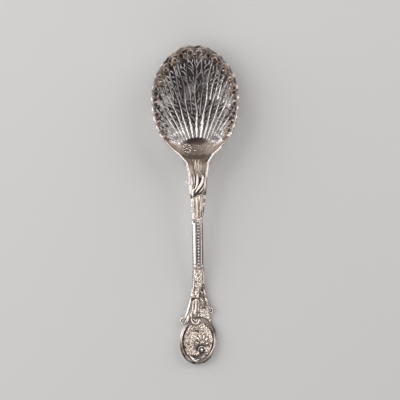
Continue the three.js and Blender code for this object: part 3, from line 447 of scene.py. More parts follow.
class Wire:
    """A socket's value in an expression: each operator adds its Math node."""

    def __init__(self, builder, socket, owner):
        self.builder, self.socket, self.owner = builder, socket, owner

    def out(self, name):
        return Wire(self.builder, self.owner.outputs[name], self.owner)

    def __add__(self, other):
        return self.builder.math("ADD", self, other)

    def __sub__(self, other):
        return self.builder.math("SUBTRACT", self, other)

    def __rsub__(self, other):
        return self.builder.math("SUBTRACT", other, self)

    def __mul__(self, other):
        return self.builder.math("MULTIPLY", self, other)

    def __pow__(self, other):
        return self.builder.math("POWER", self, other)

    def clamped(self):
        return self.builder.math("MULTIPLY", self, 1.0, clamp=True)

    __radd__, __rmul__ = __add__, __mul__


# Finishes

def silver(name, metal, roughness, tarnish, grain, cool=False):
    """Old silver: polished on its high places, with tarnish in its low places and in cloudy patches; on some
    pieces the tarnish attribute also holds painted shade and painted highlights. Grain is the strength of its
    pits, and a cool one turns grey where it has no warmth."""
    tones = bpy.context.scene.spoon_finish
    material = bpy.data.materials.new(name)
    material.use_nodes = True
    tree = Tree(material.node_tree)
    for old in list(material.node_tree.nodes):
        material.node_tree.nodes.remove(old)
    place = tree.node("ShaderNodeTexCoord", output="Object")

    def noise(scale, detail, rough, vector=place):
        return tree.node("ShaderNodeTexNoise", {"noise_dimensions": "3D"},
                         {"Vector": vector, "Scale": scale, "Detail": detail, "Roughness": rough})

    def written(name):
        return tree.node("ShaderNodeAttribute", {"attribute_name": name}, output="Fac")

    # The tarnish attribute is tarnish in low places, plus painted shade on the bowl's left wall, the neck's
    # right flank, the cartouche and its frames, and painted highlights on the bowl's lower flanks and the
    # frames.
    low = written("tarnish")
    clouds = noise(110, 3.0, 0.55)
    fine = noise(650, 4.0, 0.65)
    patch = (clouds * 1.6 - 0.45 + fine * 0.5).clamped()
    film = (low * (0.55 + 0.75 * patch) * tarnish + patch * 0.16 * tarnish).clamped()
    deep = (film ** 2.2 * 1.15).clamped()
    brown = tree.mix((fine * 2.2 - 0.6).clamped(), (*tones.tarnish_brown, 1), (*tones.tarnish_ochre, 1))
    warm = tree.mix(written("warmth") if cool else 1.0, (*tones.tarnish_grey, 1), brown)
    dull = tree.mix(deep, warm, (*tones.tarnish_dark, 1))
    honey = written("ochre") * (0.55 + 0.7 * patch)
    colour = tree.mix(honey, tree.mix(film, (*metal, 1), dull), (*tones.film_ochre, 1))
    scratches = tree.node("ShaderNodeMapping", {"vector_type": "POINT"},
                          {"Vector": place, "Rotation": (0, 0, 0.5), "Scale": (900, 3600, 900)})
    hair = noise(1.0, 2.0, 0.5, scratches)
    dull_share = roughness + film * 0.26 + (fine - 0.5) * 0.1 + (hair - 0.5) * 0.05
    pits = noise(2600, 2.0, 0.5)
    surface = (hair - 0.5) * 0.25 + (pits - 0.5) * low * grain + (clouds - 0.5) * 1.2
    bump = tree.node("ShaderNodeBump", None, {"Strength": 0.35, "Distance": 0.00009, "Height": surface})
    shader = tree.node("ShaderNodeBsdfPrincipled", None, {
        "Base Color": colour,
        "Metallic": 1.0 - deep * 0.35,
        "Roughness": dull_share.clamped(),
        "Normal": bump,
        "IOR": 1.5,
    })
    tree.node("ShaderNodeOutputMaterial", None, {"Surface": shader})
    return material


@lru_cache(maxsize=None)
def finish(slot):
    """The slot's material, made when it is first asked for."""
    tones = bpy.context.scene.spoon_finish
    metal, warm, roughness = tuple(tones.silver), tuple(tones.warm_silver), tones.polish
    finishes = {
        "bright_silver": ("polished_silver", metal, roughness, 0.95, 0.6),
        "bowl_silver": ("bowl_silver_with_tarnish", metal, roughness + 0.03, 1.0, 1.0, True),
        "toned_silver": ("chased_silver_with_tarnish", warm, roughness + 0.06, 0.92, 1.2),
    }
    return silver(*finishes[slot])


def linked(name, data):
    made = bpy.data.objects.new(name, data)
    bpy.context.scene.collection.objects.link(made)
    return made


def write_values(mesh, key, values):
    layer = mesh.attributes.new(key, "FLOAT", "POINT")
    layer.data.foreach_set("value", np.asarray(values, np.float32))


def add_piece(name, slot, nodes, points, faces, tarnish, warmth=None, ochre=None):
    """A finished piece from points in millimetres, with the values that its finish reads at each point."""
    points = np.asarray(points, float)
    a, b, c = (points[faces[:, k]] for k in range(3))
    if np.einsum("ij,ij->i", a, np.cross(b, c)).sum() < 0:
        faces = faces[:, ::-1]
    mesh = bpy.data.meshes.new(name)
    mesh.from_pydata((points * MM).tolist(), [], faces.tolist())
    mesh.validate()
    # The tarnish values hold painted shade and painted highlights on some pieces, as well as tarnish.
    for key, values in (("tarnish", tarnish), ("warmth", warmth), ("ochre", ochre)):
        if values is not None:
            write_values(mesh, key, values)
    settle(name, slot, nodes, mesh)


def settle(name, slot, nodes, mesh):
    """Finishes a piece, which stands for CAD nodes and rides on the spoon."""
    mesh.shade_smooth()
    mesh.set_sharp_from_angle(angle=SHARP_ANGLE)
    mesh.materials.clear()
    mesh.materials.append(finish(slot))
    piece = linked(name, mesh)
    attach(piece, "root")
    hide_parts(*nodes)


def carved_piece(name, slot, nodes, strokes, floor_at, cell, thick, ground=None, limit=None, clean=0.6,
                 film=0.95):
    """A piece whose outline and relief are its strokes, lying on the surface that floor_at gives. Ground is
    metal under the strokes, limit keeps it all inside its place, relief above clean has no tarnish, and film
    is the tarnish of its lowest places."""
    lines = np.concatenate([line for line, _, _ in strokes])
    widest = max(float(np.max(widths)) for _, widths, _ in strokes) + 2 * cell
    low, high = lines.min(0) - widest, lines.max(0) + widest
    xs = np.arange(low[0], high[0] + cell, cell)
    ys = np.arange(low[1], high[1] + cell, cell)
    x, y = np.meshgrid(xs, ys)
    carving = Carving(x, y).draw(strokes)
    metal, relief = carving.metal, softened(carving.relief)
    if ground is not None:
        metal = np.maximum(metal, ground(x, y))
    if limit is not None:
        metal = np.minimum(metal, limit(x, y))
    floor = floor_at(x, y) + GAP
    top = floor + thick * smooth(metal / 0.5) + relief * smooth(metal / 0.35)
    low_places = film * (1 - smooth((relief - 0.05) / clean))
    plan, (tops, floors, tarnish), faces = cut_sheet(xs, ys, metal, [top, floor, low_places], relief)
    tops = np.maximum(tops, floors + 0.05)
    points, faces = walled(np.column_stack([plan, tops]), np.column_stack([plan, floors]), faces)
    add_piece(name, slot, nodes, points, faces, np.tile(tarnish, 2))


# Repeats and mouldings, as geometry nodes

def start_tree(name, inputs):
    """A new tree with named inputs. Returns its builder, its input node and its sockets' identifiers."""
    tree = bpy.data.node_groups.new(name, "GeometryNodeTree")
    ids = {}
    for key, kind, value in inputs:
        socket = tree.interface.new_socket(key, in_out="INPUT", socket_type=kind)
        ids[key] = socket.identifier
        if value is not None:
            socket.default_value = value
    tree.interface.new_socket("Geometry", in_out="OUTPUT", socket_type="NodeSocketGeometry")
    builder = Tree(tree)
    return builder, builder.node("NodeGroupInput"), ids


def end_tree(builder, geometry, material):
    real = builder.node("GeometryNodeRealizeInstances", None, {"Geometry": geometry})
    done = builder.node("GeometryNodeSetMaterial", None, {"Geometry": real, "Material": material})
    builder.node("NodeGroupOutput", None, {"Geometry": done})


@lru_cache(maxsize=None)
def moulding_tree():
    """A round or grooved moulding along a line whose points carry their own half-thickness."""
    builder, source, ids = start_tree("moulding_along_a_line", [
        ("Geometry", "NodeSocketGeometry", None),
        ("Sides", "NodeSocketInt", 14),
        ("Groove", "NodeSocketFloat", 0.0),
        ("Groove Width", "NodeSocketFloat", 0.35),
        ("Groove Place", "NodeSocketFloat", 0.0),
        ("Material", "NodeSocketMaterial", None),
    ])
    line = builder.node("GeometryNodeMeshToCurve", None, {"Mesh": source.out("Geometry")})
    level = builder.node("GeometryNodeSetCurveNormal", {"mode": "Z_UP"}, {"Curve": line})
    circle = builder.node("GeometryNodeCurvePrimitiveCircle", {"mode": "RADIUS"},
                          {"Resolution": source.out("Sides"), "Radius": 1.0})
    place = builder.node("GeometryNodeInputPosition")
    parts = builder.node("ShaderNodeSeparateXYZ", None, {"Vector": place})
    across = builder.node("ShaderNodeMath", {"operation": "DIVIDE"},
                          {0: parts.out("X") - source.out("Groove Place"), 1: source.out("Groove Width")})
    dent = source.out("Groove") * builder.math("EXPONENT", across * across * -1.0) * parts.out("Y") * -1.0
    shift = builder.node("ShaderNodeCombineXYZ", None, {"Y": dent})
    profile = builder.node("GeometryNodeSetPosition", None, {"Geometry": circle, "Offset": shift})
    size = builder.node("GeometryNodeInputNamedAttribute", {"data_type": "FLOAT"}, {"Name": "half_thickness"})
    solid = builder.node("GeometryNodeCurveToMesh", None,
                         {"Curve": level, "Profile Curve": profile, "Scale": size, "Fill Caps": True})
    end_tree(builder, solid, source.out("Material"))
    return builder.tree, ids


@lru_cache(maxsize=None)
def bead_tree():
    """Beads at an even pitch along a line, on the wire that joins them."""
    builder, source, ids = start_tree("beads_along_a_line", [
        ("Geometry", "NodeSocketGeometry", None),
        ("Beads", "NodeSocketInt", 15),
        ("Bead Radius", "NodeSocketFloat", 0.65 * MM),
        ("Wire Radius", "NodeSocketFloat", 0.3 * MM),
        ("Material", "NodeSocketMaterial", None),
    ])
    line = builder.node("GeometryNodeMeshToCurve", None, {"Mesh": source.out("Geometry")})
    spots = builder.node("GeometryNodeCurveToPoints", {"mode": "COUNT"},
                         {"Curve": line, "Count": source.out("Beads")})
    bead = builder.node("GeometryNodeMeshIcoSphere", None,
                        {"Radius": source.out("Bead Radius"), "Subdivisions": 3})
    beads = builder.node("GeometryNodeInstanceOnPoints", None, {"Points": spots, "Instance": bead})
    circle = builder.node("GeometryNodeCurvePrimitiveCircle", {"mode": "RADIUS"},
                          {"Resolution": 10, "Radius": source.out("Wire Radius")})
    wire = builder.node("GeometryNodeCurveToMesh", None,
                        {"Curve": line, "Profile Curve": circle, "Fill Caps": True})
    both = builder.node("GeometryNodeJoinGeometry")
    for part in (beads, wire):
        builder.tree.links.new(part.socket, both.owner.inputs[0])
    end_tree(builder, both, source.out("Material"))
    return builder.tree, ids


def run_tree(name, slot, nodes, tree_and_ids, line, values, thickness=None, tones=None):
    """Runs a tree on a line in millimetres and keeps the result as a plain piece. Tones gives the tarnish at
    each of its places, with any painted shade and painted highlight."""
    tree, ids = tree_and_ids
    mesh = bpy.data.meshes.new(name + "_line")
    mesh.from_pydata((np.asarray(line) * MM).tolist(), [(i, i + 1) for i in range(len(line) - 1)], [])
    if thickness is not None:
        write_values(mesh, "half_thickness", np.asarray(thickness, np.float32) * MM)
    carrier = linked(name + "_line", mesh)
    modifier = carrier.modifiers.new("shape", "NODES")
    modifier.node_group = tree
    for key, value in {**values, "Material": finish(slot)}.items():
        modifier[ids[key]] = value

    evaluated = carrier.evaluated_get(bpy.context.evaluated_depsgraph_get())
    made = bpy.data.meshes.new_from_object(evaluated)
    made.name = name
    carrier.modifiers.remove(modifier)
    bpy.data.objects.remove(carrier)
    bpy.data.meshes.remove(mesh)
    if not made.polygons:
        raise RuntimeError(f"{name} came out empty")
    if tones is not None:
        places = np.empty(len(made.vertices) * 3, np.float32)
        made.vertices.foreach_get("co", places)
        write_values(made, "tarnish", tones(places.reshape(-1, 3) / MM))
    settle(name, slot, nodes, made)


def moulding(name, slot, nodes, line, thickness, groove, groove_width, groove_place=0.0, sides=28,
             tones=None):
    values = {"Sides": sides, "Groove": groove, "Groove Width": groove_width, "Groove Place": groove_place}
    run_tree(name, slot, nodes, moulding_tree(), line, values, thickness, tones)


# Heights on the handle

def arch(y):
    return smooth((y - ARCH_FOOT_Y) / (ARCH_TOP_Y - ARCH_FOOT_Y))


def core_under(y):
    return (RIM_Z - NECK_THICKNESS) * arch(y)


def core_top(x, y):
    """The bar's top, which is level from edge to edge."""
    return core_under(y) + lerp(STEM_THICKNESS, NECK_THICKNESS, arch(y))


def core_side(y, side):
    """The bar's edge at y: the left one for a side of -1, the right one for 1."""
    edges = CORE_LEFT if side < 0 else CORE_RIGHT
    down = np.clip((HEEL_Y - np.asarray(y, float)) / (HEEL_Y - OVAL_TOP_Y), 0, 1)
    after = np.clip(np.searchsorted(CORE_DOWN, down), 1, len(CORE_DOWN) - 1)
    low, high = np.take(CORE_DOWN, after - 1), np.take(CORE_DOWN, after)
    share = np.clip((down - low) / (high - low), 0, 1)
    share = (share + smooth(share)) / 2
    return STEM_HALF_WIDTH * lerp(np.take(edges, after - 1), np.take(edges, after), share)


def left_side(y):
    return core_side(y, -1)


def right_side(y):
    return core_side(y, 1)


def oval(angle, inset=0.0):
    x = (OVAL_HALF_WIDTH - inset) * np.sin(angle)
    y = (OVAL_HALF_LENGTH - inset) * np.cos(angle)
    lean = -OVAL_LEAN
    return np.stack([OVAL_X + x * math.cos(lean) - y * math.sin(lean),
                     OVAL_Y + x * math.sin(lean) + y * math.cos(lean)], -1)


def field_share(x, y):
    """How far out a place lies in the oval: 0 at its middle and 1 at its edge."""
    dx, dy = x - OVAL_X, y - OVAL_Y
    local_x = dx * math.cos(OVAL_LEAN) - dy * math.sin(OVAL_LEAN)
    local_y = dx * math.sin(OVAL_LEAN) + dy * math.cos(OVAL_LEAN)
    return np.hypot(local_x / OVAL_HALF_WIDTH, local_y / OVAL_HALF_LENGTH)


def plate_top(x, y):
    share = np.minimum(1, field_share(x, y) / PLATE_FIELD)
    return PLATE_EDGE - PLATE_DISH * np.square(1 - np.square(share))


def oval_top(x):
    edge = oval((np.linspace(0, 1, 721) - 0.5) * math.pi)
    return np.interp(x, edge[:, 0], edge[:, 1])


def heel_rim_y(x):
    return BOWL_Y - BACK * half_round(x / HALF_WIDTH)


# Pieces of the bowl

RIBS_KNOWN = np.linspace(0, LOBES, LOBES * 14 + 1)
BAND_DEPTH, BAND_SHARE = 6.5, 0.4
VEIN_CLEARANCE, BETWEEN_SLITS, LEAST_PANEL = 0.52, 0.68, 1.3
SLOT_PITCH, SLOT_GAP = 2.7, 0.95
LOOP_PITCH = 4.6
HEART_X, HEART_Y, HEART_HALF_WIDTH, HEART_HALF_LENGTH = -1.5, 80, 20, 27
PLAIN_RELIEF = 0.42


def nearest_in(known):
    """Finds the number of the nearest known place for each of many places."""
    tree = kdtree.KDTree(len(known))
    for number, place in enumerate(known.tolist()):
        tree.insert(place, number)
    tree.balance()
    return lambda places: np.array([tree.find(place)[1] for place in places.tolist()])


def bowl_coordinates(x, y):
    """Rib coordinate u and share v for places in the plan: those of the nearest known place, brought nearer
    in a few steps."""
    known_u, known_v = (table.ravel() for table in np.meshgrid(RIBS_KNOWN, np.linspace(0, 1.05, 106)))
    known, _ = lobed(known_u, known_v)
    nearest = nearest_in(np.insert(known, 2, 0, axis=1))(np.stack([x, y, np.zeros_like(x)], -1))
    u, v = known_u[nearest], known_v[nearest]
    target = np.stack([x, y], -1)
    step = 1e-3
    for _ in range(4):
        u = np.clip(u, 1e-4, LOBES - 2 * step)
        here, _ = lobed(u, v)
        by_u = (lobed(u + step, v)[0] - here) / step
        by_v = (lobed(u, v + step)[0] - here) / step
        miss = target - here
        size = by_u[:, 0] * by_v[:, 1] - by_u[:, 1] * by_v[:, 0]
        size = np.where(np.abs(size) < 1e-6, 1e-6, size)
        u = u + np.clip((miss[:, 0] * by_v[:, 1] - miss[:, 1] * by_v[:, 0]) / size, -0.1, 0.1)
        v = v + np.clip((by_u[:, 0] * miss[:, 1] - by_u[:, 1] * miss[:, 0]) / size, -0.04, 0.04)
    return np.clip(u, 0, LOBES), v


def band_depth(u):
    return np.minimum(BAND_DEPTH, BAND_SHARE * rib_length(u))


def in_plan(coordinates):
    u, v = np.asarray(coordinates, float).T
    return lobed(np.clip(u, 0, LOBES), v)[0]


def span(left, right, v):
    """The width between two ribs at a share v."""
    ends = in_plan([[left, v], [right, v]])
    return float(np.linalg.norm(ends[1] - ends[0]))


def long_slot(u, start, end, slit, room):
    """A slot along a panel, from one distance from the fan to another, in so much room across."""
    length = float(rib_length(u))
    v = np.linspace(start, end, 6) / length
    line = in_plan(np.stack([np.full(6, u), v], -1))
    return line, np.minimum(slit, room / 2) * np.array([0.6, 1, 1, 1, 0.9, 0.5]), 0.0


def leaning_slits(left, right, begin, stop, slit, rng):
    """Slits that lean outwards in a panel like a leaf's veins, and the ridges between them."""
    slits, ridges = [], []
    length = float(rib_length((left + right) / 2))
    near, far = (left, right) if left >= LOBES / 2 else (right, left)
    v = begin
    while (stop - v) * length > LEAST_PANEL:
        width = span(left, right, v)
        in_heart = heart_share(*in_plan([[(left + right) / 2, v]])[0])
        room = slit * rng.uniform(0.85, 1.2) * lerp(1, 0.62, in_heart)
        beside = VEIN_CLEARANCE + 0.9 * room
        start = beside / width
        lean = rng.uniform(0.95, 2.1)
        climb = min((1 - 2 * start) * width * lean, 5.0) / length
        if width < 2.2 * beside + 0.5 or v + climb > stop or rng.uniform() < 0.22:
            reach = min(rng.uniform(2.8, 3.8), (stop - v) * length)
            columns = max(1, round(width / SLOT_PITCH))
            for column in range(columns):
                share = (column + 0.5) / columns
                slits.append(long_slot(lerp(left, right, share), v * length + 0.5 * (column % 2),
                                       v * length + reach, room, 0.5 * width / columns))
            v += (reach + SLOT_GAP) / length
            continue
        across = [lerp(near, far, share) for share in (start, lerp(start, 1 - start, 0.38), 1 - start)]
        line = bent(in_plan(list(zip(across, [v, v + climb * 0.55, v + climb]))), 4)
        swell = 0.5 + 0.5 * np.sin(math.pi * np.linspace(0.12, 0.86, len(line)))
        slits.append((line, room * swell, 0.0))
        step = (2 * room + BETWEEN_SLITS) * math.hypot(1, lean) / length
        ridge_v = v + step / 2 + climb * np.array([-0.25, 0.5, 1.1])
        if ridge_v[-1] < stop and rng.uniform() > 0.6 * heart_share(*in_plan([[left, v]])[0]):
            ridge_u = [near, lerp(near, far, 0.4), far]
            ridges.append(stroke(in_plan(list(zip(ridge_u, ridge_v))), 0.5, 0.6, "tail"))
        v += step
    return slits, ridges


def heart_share(x, y):
    """How far a place lies in the dark middle of the bowl."""
    out = np.hypot((x - HEART_X) / HEART_HALF_WIDTH, (y - HEART_Y) / HEART_HALF_LENGTH)
    return 1 - smooth((out - 0.35) / 0.65)


def lower_share(y):
    """How far a place lies in the bowl's lower part, towards the handle."""
    return smooth((BOWL_Y - 2 - y) / 20)


def tracery():
    """The bowl's veins and the ridges between them, as strokes of relief, and the slits."""
    sizes = bpy.context.scene.spoon_sizes
    slit = sizes.slit_width / MM / 2
    rng = np.random.default_rng(11)
    veins, ridges, slits = [], [], []

    def vein(u, start, weight):
        reach = float(rib_length(u))
        v = np.linspace(start, 1 - float(band_depth(u)) / reach + 0.03, 16)
        line_u = u + 0.1 * np.sin(v * reach / 4.4 + u * 4.2) * smooth((v - start) * 4)
        line = in_plan(np.stack([line_u, v], -1))
        low = np.maximum(lower_share(line[:, 1]), 0.75 * smooth((np.abs(line[:, 0]) - 7) / 10))
        widths = sizes.rib_width / MM / 2 * weight * lerp(0.85, 1.7, low)
        veins.append((line, widths * (1 - 0.2 * v), 0.8 * weight ** 0.5))

    def panel(left, right, begin, stop):
        openings, raised = leaning_slits(left, right, begin, stop, slit, rng)
        slits.extend(openings)
        ridges.extend(raised)

    for lobe in range(LOBES):
        middle = lobe + 0.5
        reach = float(rib_length(middle))
        band = 1 - (float(band_depth(middle)) + 0.3) / reach
        vein(float(lobe), 0.0, {11: 1.5, 9: 0.85}.get(lobe, 1.2 if lobe % 2 else 0.9))
        root = min(rng.uniform(5.2, 7.2), 0.45 * reach)
        shares = np.linspace(0, 1, 60)
        wide = np.array([span(lobe, lobe + 1, float(share)) for share in shares])
        begin = max(0.65, reach * float(shares[np.argmax(wide > 1.25)]))
        if root - begin > 1.5 and 0 < lobe < LOBES - 1:
            across = span(lobe, lobe + 1, (begin + root) / 2 / reach)
            slits.append(long_slot(middle, begin, root, slit, 0.5 * across))
        split = float(shares[np.argmax(wide > 5.3)]) if wide[-1] > 6.6 else band
        first = max((root + 1.5) / reach, float(shares[np.argmax(wide > 2.0)]))
        if split < band - 0.1:
            panel(lobe, lobe + 1, first, split - 0.7 / reach)
            vein(middle, split - 1.2 / reach, 0.8)
            panel(lobe, middle, split + 1.2 / reach, band)
            panel(middle, lobe + 1, split + 1.2 / reach, band)
        else:
            panel(lobe, lobe + 1, first, band)
    vein(float(LOBES), 0.0, 1.0)
    return veins, ridges, slits


# The band's figures over half a loop's width: places across it and down the band, and the holes' sizes.
COMMA = ((0.95, 1.1), (0.8, 0.8), (0.3, 0.86))
BOW = ((-1, 0.6), (-0.92, 0.34), (0, 0.22), (0.92, 0.34), (1, 0.6))
BAND_HOLES = ((1.0, 0.56, 0.13), (0.6, 0.9, 0.1), (-0.75, 0.86, 0.1))


def band_scrolls():
    """The band under the rim: a row of small holes in rings, joined by commas, under a smooth lip."""
    strokes, holes = [], []
    for lobe in range(LOBES):
        length = float(rib_length(lobe + 0.5))
        depth = float(band_depth(lobe + 0.5))
        width = span(lobe, lobe + 1, 0.93)
        loops = max(1, round(width / LOOP_PITCH))
        cell = width / loops

        def spots(places, middle, share):
            return in_plan([(lobe + (middle + share * across), 1 - down * depth / length)
                            for across, down in places])

        for loop in range(loops):
            middle = (loop + 0.5) / loops
            side = 1 if (lobe + loop) % 2 else -1
            share = 0.5 / loops
            centre = spots([(0, 0.55)], middle, share)[0]
            inwards = math.degrees(math.atan2(-centre[0], BOWL_Y - centre[1]))
            angles = np.radians(inwards + side * np.linspace(25, 330, 17))
            reach = min(0.33 * cell, 0.27 * depth)
            strokes.append(arc_stroke(centre, reach, angles, np.linspace(0.6, 0.4, 17), 0.8))
            strokes.append(dot(centre, 0.4 * reach, 0.25))
            strokes.append(stroke(spots(COMMA, middle, side * share), 0.45, 0.65, "tail"))
            strokes.append(stroke(spots(BOW, middle, share), 0.36, 0.65))
            for across, down, size in BAND_HOLES:
                place = spots([(across, down)], middle, side * share)[0]
                holes.append((place, min(0.75, size * cell)))
    return strokes, holes


def bowl_openings(x, y, slits, holes):
    """How deep each place lies in a slit or a hole."""
    opening = Carving(x, y).draw(slits).metal
    for (hole_x, hole_y), radius in holes:
        near = (np.abs(x - hole_x) < radius + 2) & (np.abs(y - hole_y) < radius + 2)
        opening[near] = np.maximum(opening[near], radius - np.hypot(x[near] - hole_x, y[near] - hole_y))
    return opening


def bowl_tones(x, y, below_fan, from_rim, in_band, on_vein, relief):
    """Tarnish, brown warmth and ochre film over the bowl, with painted shade on the left wall and painted
    highlights on the cleaner lower flanks.
    """
    heel = below_fan > 0
    heart = heart_share(x, y)
    # Painted light: the left wall must stand higher before it turns clean, which paints shade on it, and the
    # lower flanks need less, which paints highlights on them.
    left_wall_painted_shade = 0.12 * smooth((-x - 6) / 8)
    bright_from = lerp(lerp(lerp(0.35, 0.24, lower_share(y)) + left_wall_painted_shade, 0.42, heart), 0.24, in_band)
    worn_veins = lerp(0.95, 0.62, heart) * on_vein * (1 - in_band)
    worn = np.maximum(smooth((relief - bright_from) / 0.3), worn_veins)
    tarnish = (1 - worn) * lerp(lerp(0.98, 1.0, heart), 0.93, in_band)
    crescent = (1 - smooth((below_fan - 1.4) / 6)) * (1 - smooth((np.abs(x + 0.3) - 3.4) / 8))
    tarnish = np.where(heel, 0.67 + 0.33 * crescent, tarnish)
    under_lip = 0.9 * in_band * worn * (1 - smooth((1.3 - from_rim) / 0.4))
    ochre = np.where(heel, 0.3 * (1 - crescent), under_lip) * (1 - 0.5 * smooth((relief - 0.5) / 0.2))
    warmth = np.maximum(in_band, heel * 0.8 * (1 - crescent))
    return softened(tarnish), warmth, ochre


def make_bowl():
    """The raised and fluted sheet, pierced and chased, with its plain heel."""
    cell = bpy.context.scene.spoon_sizes.bowl_grain / MM
    half_width = 29.6
    xs = np.arange(-half_width, half_width + cell, cell)
    ys = np.arange(HEEL_Y - 1.2, TIP_Y + 2.6, cell)
    x, y = np.meshgrid(xs, ys)
    out = out_share(x, y)
    border = np.concatenate([[rim_plan(0)], fan_plan(np.linspace(0, LOBES, 81)), [rim_plan(LOBES)]])
    below_fan = np.interp(x, border[:, 0], border[:, 1]) - y
    heel = below_fan > 0
    pierced = ~heel & (out < 1.16)
    u = np.zeros_like(x)
    v = np.full_like(x, -1.0)
    u[pierced], v[pierced] = bowl_coordinates(x[pierced], y[pierced])
    _, bulge = across_lobe(u)
    length, depth = rib_length(u), band_depth(u)
    from_rim = (1 - v) * length

    # Distance inside the outline, and the plain surface.
    inside = np.where(pierced, from_rim * 0.9, (1 - out) * 36)
    inside[~pierced & ~heel] = FAR_OUTSIDE
    plain = lerp(fan_plan(u), rim_plan(u), v[..., None])
    sunk = (flute(v) + 0.5 * np.minimum(out, 1) ** 2) * bulge
    surface = np.where(pierced, basin(plain[..., 0], plain[..., 1]) - sunk, basin(x, y))

    # Openings, as the distance into them.
    veins, ridges, slits = tracery()
    scrolls, holes = band_scrolls()
    opening = bowl_openings(x, y, slits, holes)
    opening[~pierced] = FAR_OUTSIDE
    metal = np.minimum(-opening, inside)

    # Relief over the lowest ground: cushioned bars, raised veins, and scrolls in the band.
    in_band = smooth((depth + 0.5 - from_rim) / 0.8) * pierced
    cushion = lerp(0.34, 0.14, in_band) * smooth(metal / 0.5)
    lip = 0.5 * smooth((1.5 - from_rim) / 0.5) * pierced * smooth(inside / 0.5)
    trunks = Carving(x, y).draw(veins)
    on_vein = smooth((trunks.metal + 0.05) / 0.3)
    drawing = softened(softened(trunks.draw(ridges + scrolls).relief))
    relief = np.maximum.reduce([drawing, cushion, lip, PLAIN_RELIEF * heel])
    relief *= smooth(metal / 0.25)
    normal = basin_normal(x, y)
    steep = np.minimum(1.6, 1 / normal[..., 2])
    top = surface + (relief - PLAIN_RELIEF) * steep
    bottom = np.maximum(0, surface - SHEET * normal[..., 2])
    shift = -SHEET * normal[..., :2]
    tones = bowl_tones(x, y, below_fan, from_rim, in_band, on_vein, relief)
    layers = [top, bottom, shift[..., 0], shift[..., 1], *tones]
    plan, (tops, floors, shift_x, shift_y, *tones), faces = cut_sheet(xs, ys, metal, layers, relief)
    under = np.column_stack([plan[:, 0] + shift_x, plan[:, 1] + shift_y, floors])
    points, faces = walled(np.column_stack([plan, tops]), under, faces)
    add_piece("pierced_bowl", "bowl_silver", ["bowl_pierced_shell"], points, faces, *np.tile(tones, 2))


def make_rim():
    u = RIBS_KNOWN
    plan, height = lobed(u, 1.0)
    inner, inner_height = lobed(u, 0.96)
    wall = np.column_stack([plan - inner, height - inner_height])
    wall /= np.linalg.norm(wall, axis=1, keepdims=True)
    normal = basin_normal(plan[:, 0], plan[:, 1])
    line = np.column_stack([plan, height]) - normal * SHEET / 2 + wall * (RIM_WIRE_RADIUS + GAP)
    nearest = nearest_in(line)

    def tones(places):
        share = u[nearest(places)] % 1
        towards_tip = smooth((places[:, 1] - BOWL_Y + 12) / 26)
        worn = (0.9 - 0.45 * towards_tip) * bell((share - 0.5) / 0.16)
        return np.clip(0.52 + 0.3 * towards_tip - worn, 0, 1)

    taper = 0.3 + 0.7 * smooth(np.minimum(u, LOBES - u) / 0.35)
    moulding("rim_wire", "bright_silver", ["bowl_rim_wire"], line, RIM_WIRE_RADIUS * taper, 0.18, 0.3,
             tones=tones)


def petals(centre, angles, near, far, height, tilt=0):
    """Petals from near to far round a centre, at angles in degrees clockwise from +Y, which they tilt from as
    they go out."""
    made = []
    for angle in angles:
        a, b = math.radians(angle), math.radians(angle + tilt)
        places = ((a, near), ((a + b) / 2, (near + far) / 2), (b, far))
        made.append(stroke([at_compass(centre, turn, reach) for turn, reach in places], 0.5, height, "drop"))
    return made


def heel_place(across, along):
    """A place in the heel, at shares of the bowl's half-width and of its back half."""
    return across * HALF_WIDTH, HEEL_Y + along * BACK


def make_heel_ornaments():
    middle = heel_place(-0.217, 0.195)
    rosette = [arc_stroke(middle, 2.95, np.linspace(0, 2 * math.pi, 19), 0.36, 0.8), dot(middle, 0.8, 0.75)]
    rosette += petals(middle, np.linspace(10, 325, 8), 1.0, 2.3, 0.6, tilt=22)

    def disc(x, y):
        return 3.35 - np.hypot(x - middle[0], y - middle[1])

    carved_piece("heel_medallion", "toned_silver", ["heel_rosette"], rosette, basin, 0.11, 0.2, disc, disc,
                 0.45)
    x, y = heel_place(0.1985, 0.205)
    foot = (x - 0.2, y + 1.6)
    fan = np.linspace(92, 268, 7)
    shell = petals(foot, fan, 0.6, 3.3, 0.45) + petals(foot, fan, 3.45, 3.7, 0.75)
    carved_piece("heel_shell_leaf", "toned_silver", ["heel_leaf"], shell, basin, 0.11, 0.15, clean=0.45)
    pearl = dot(heel_place(-0.0184, 0.1615), 1.05, 0.95)
    carved_piece("heel_pearl", "bright_silver", ["heel_bead"], [pearl], basin, 0.1, 0.15)


# Pieces of the handle

FLOWER_START, FLOWER_END = MOULDING_END - 2 * GAP, OVAL_TOP_Y + 12.7
CLUSTER_START, CLUSTER_END = OVAL_TOP_Y + 21.7, OVAL_TOP_Y + 5.7
ACANTHUS_START = OVAL_TOP_Y + 12.4
WING_START = OVAL_TOP_Y + 15.4


def cluster_left(y):
    """The line between the husks and the ruffled leaves."""
    return STEM_HALF_WIDTH * lerp(0.85, 0.24, smooth((CLUSTER_START - y) / (1.5 * STEM_HALF_WIDTH)))


def beside_wing(y):
    """The room that a wing takes from the leaves beside it."""
    return 1.45 * smooth((WING_START + 4.5 - y) / 3)


def flower_ground(x, y):
    return least(x - left_side(y) - GAP - beside_wing(y), right_side(y) - GAP - x,
                 cluster_left(y) - 2 * GAP - x, FLOWER_START - y, y - FLOWER_END)


def cluster_ground(x, y):
    return least(x - cluster_left(y), right_side(y) - GAP - beside_wing(y) - x,
                 CLUSTER_START - y, y - CLUSTER_END)


def acanthus_ground(x, y):
    return least(x - left_side(y) - 1.6, cluster_left(y) - 2 * GAP - x, ACANTHUS_START - y,
                 y - oval_top(x) - 2 * GAP)


def ragged(region):
    """A wavy ground inside a region, past which only leaf tips reach."""
    return lambda x, y: region(x, y) - 0.75 - 0.45 * np.sin(2.3 * x + 1.1 * y) * np.sin(1.9 * y + 0.7)


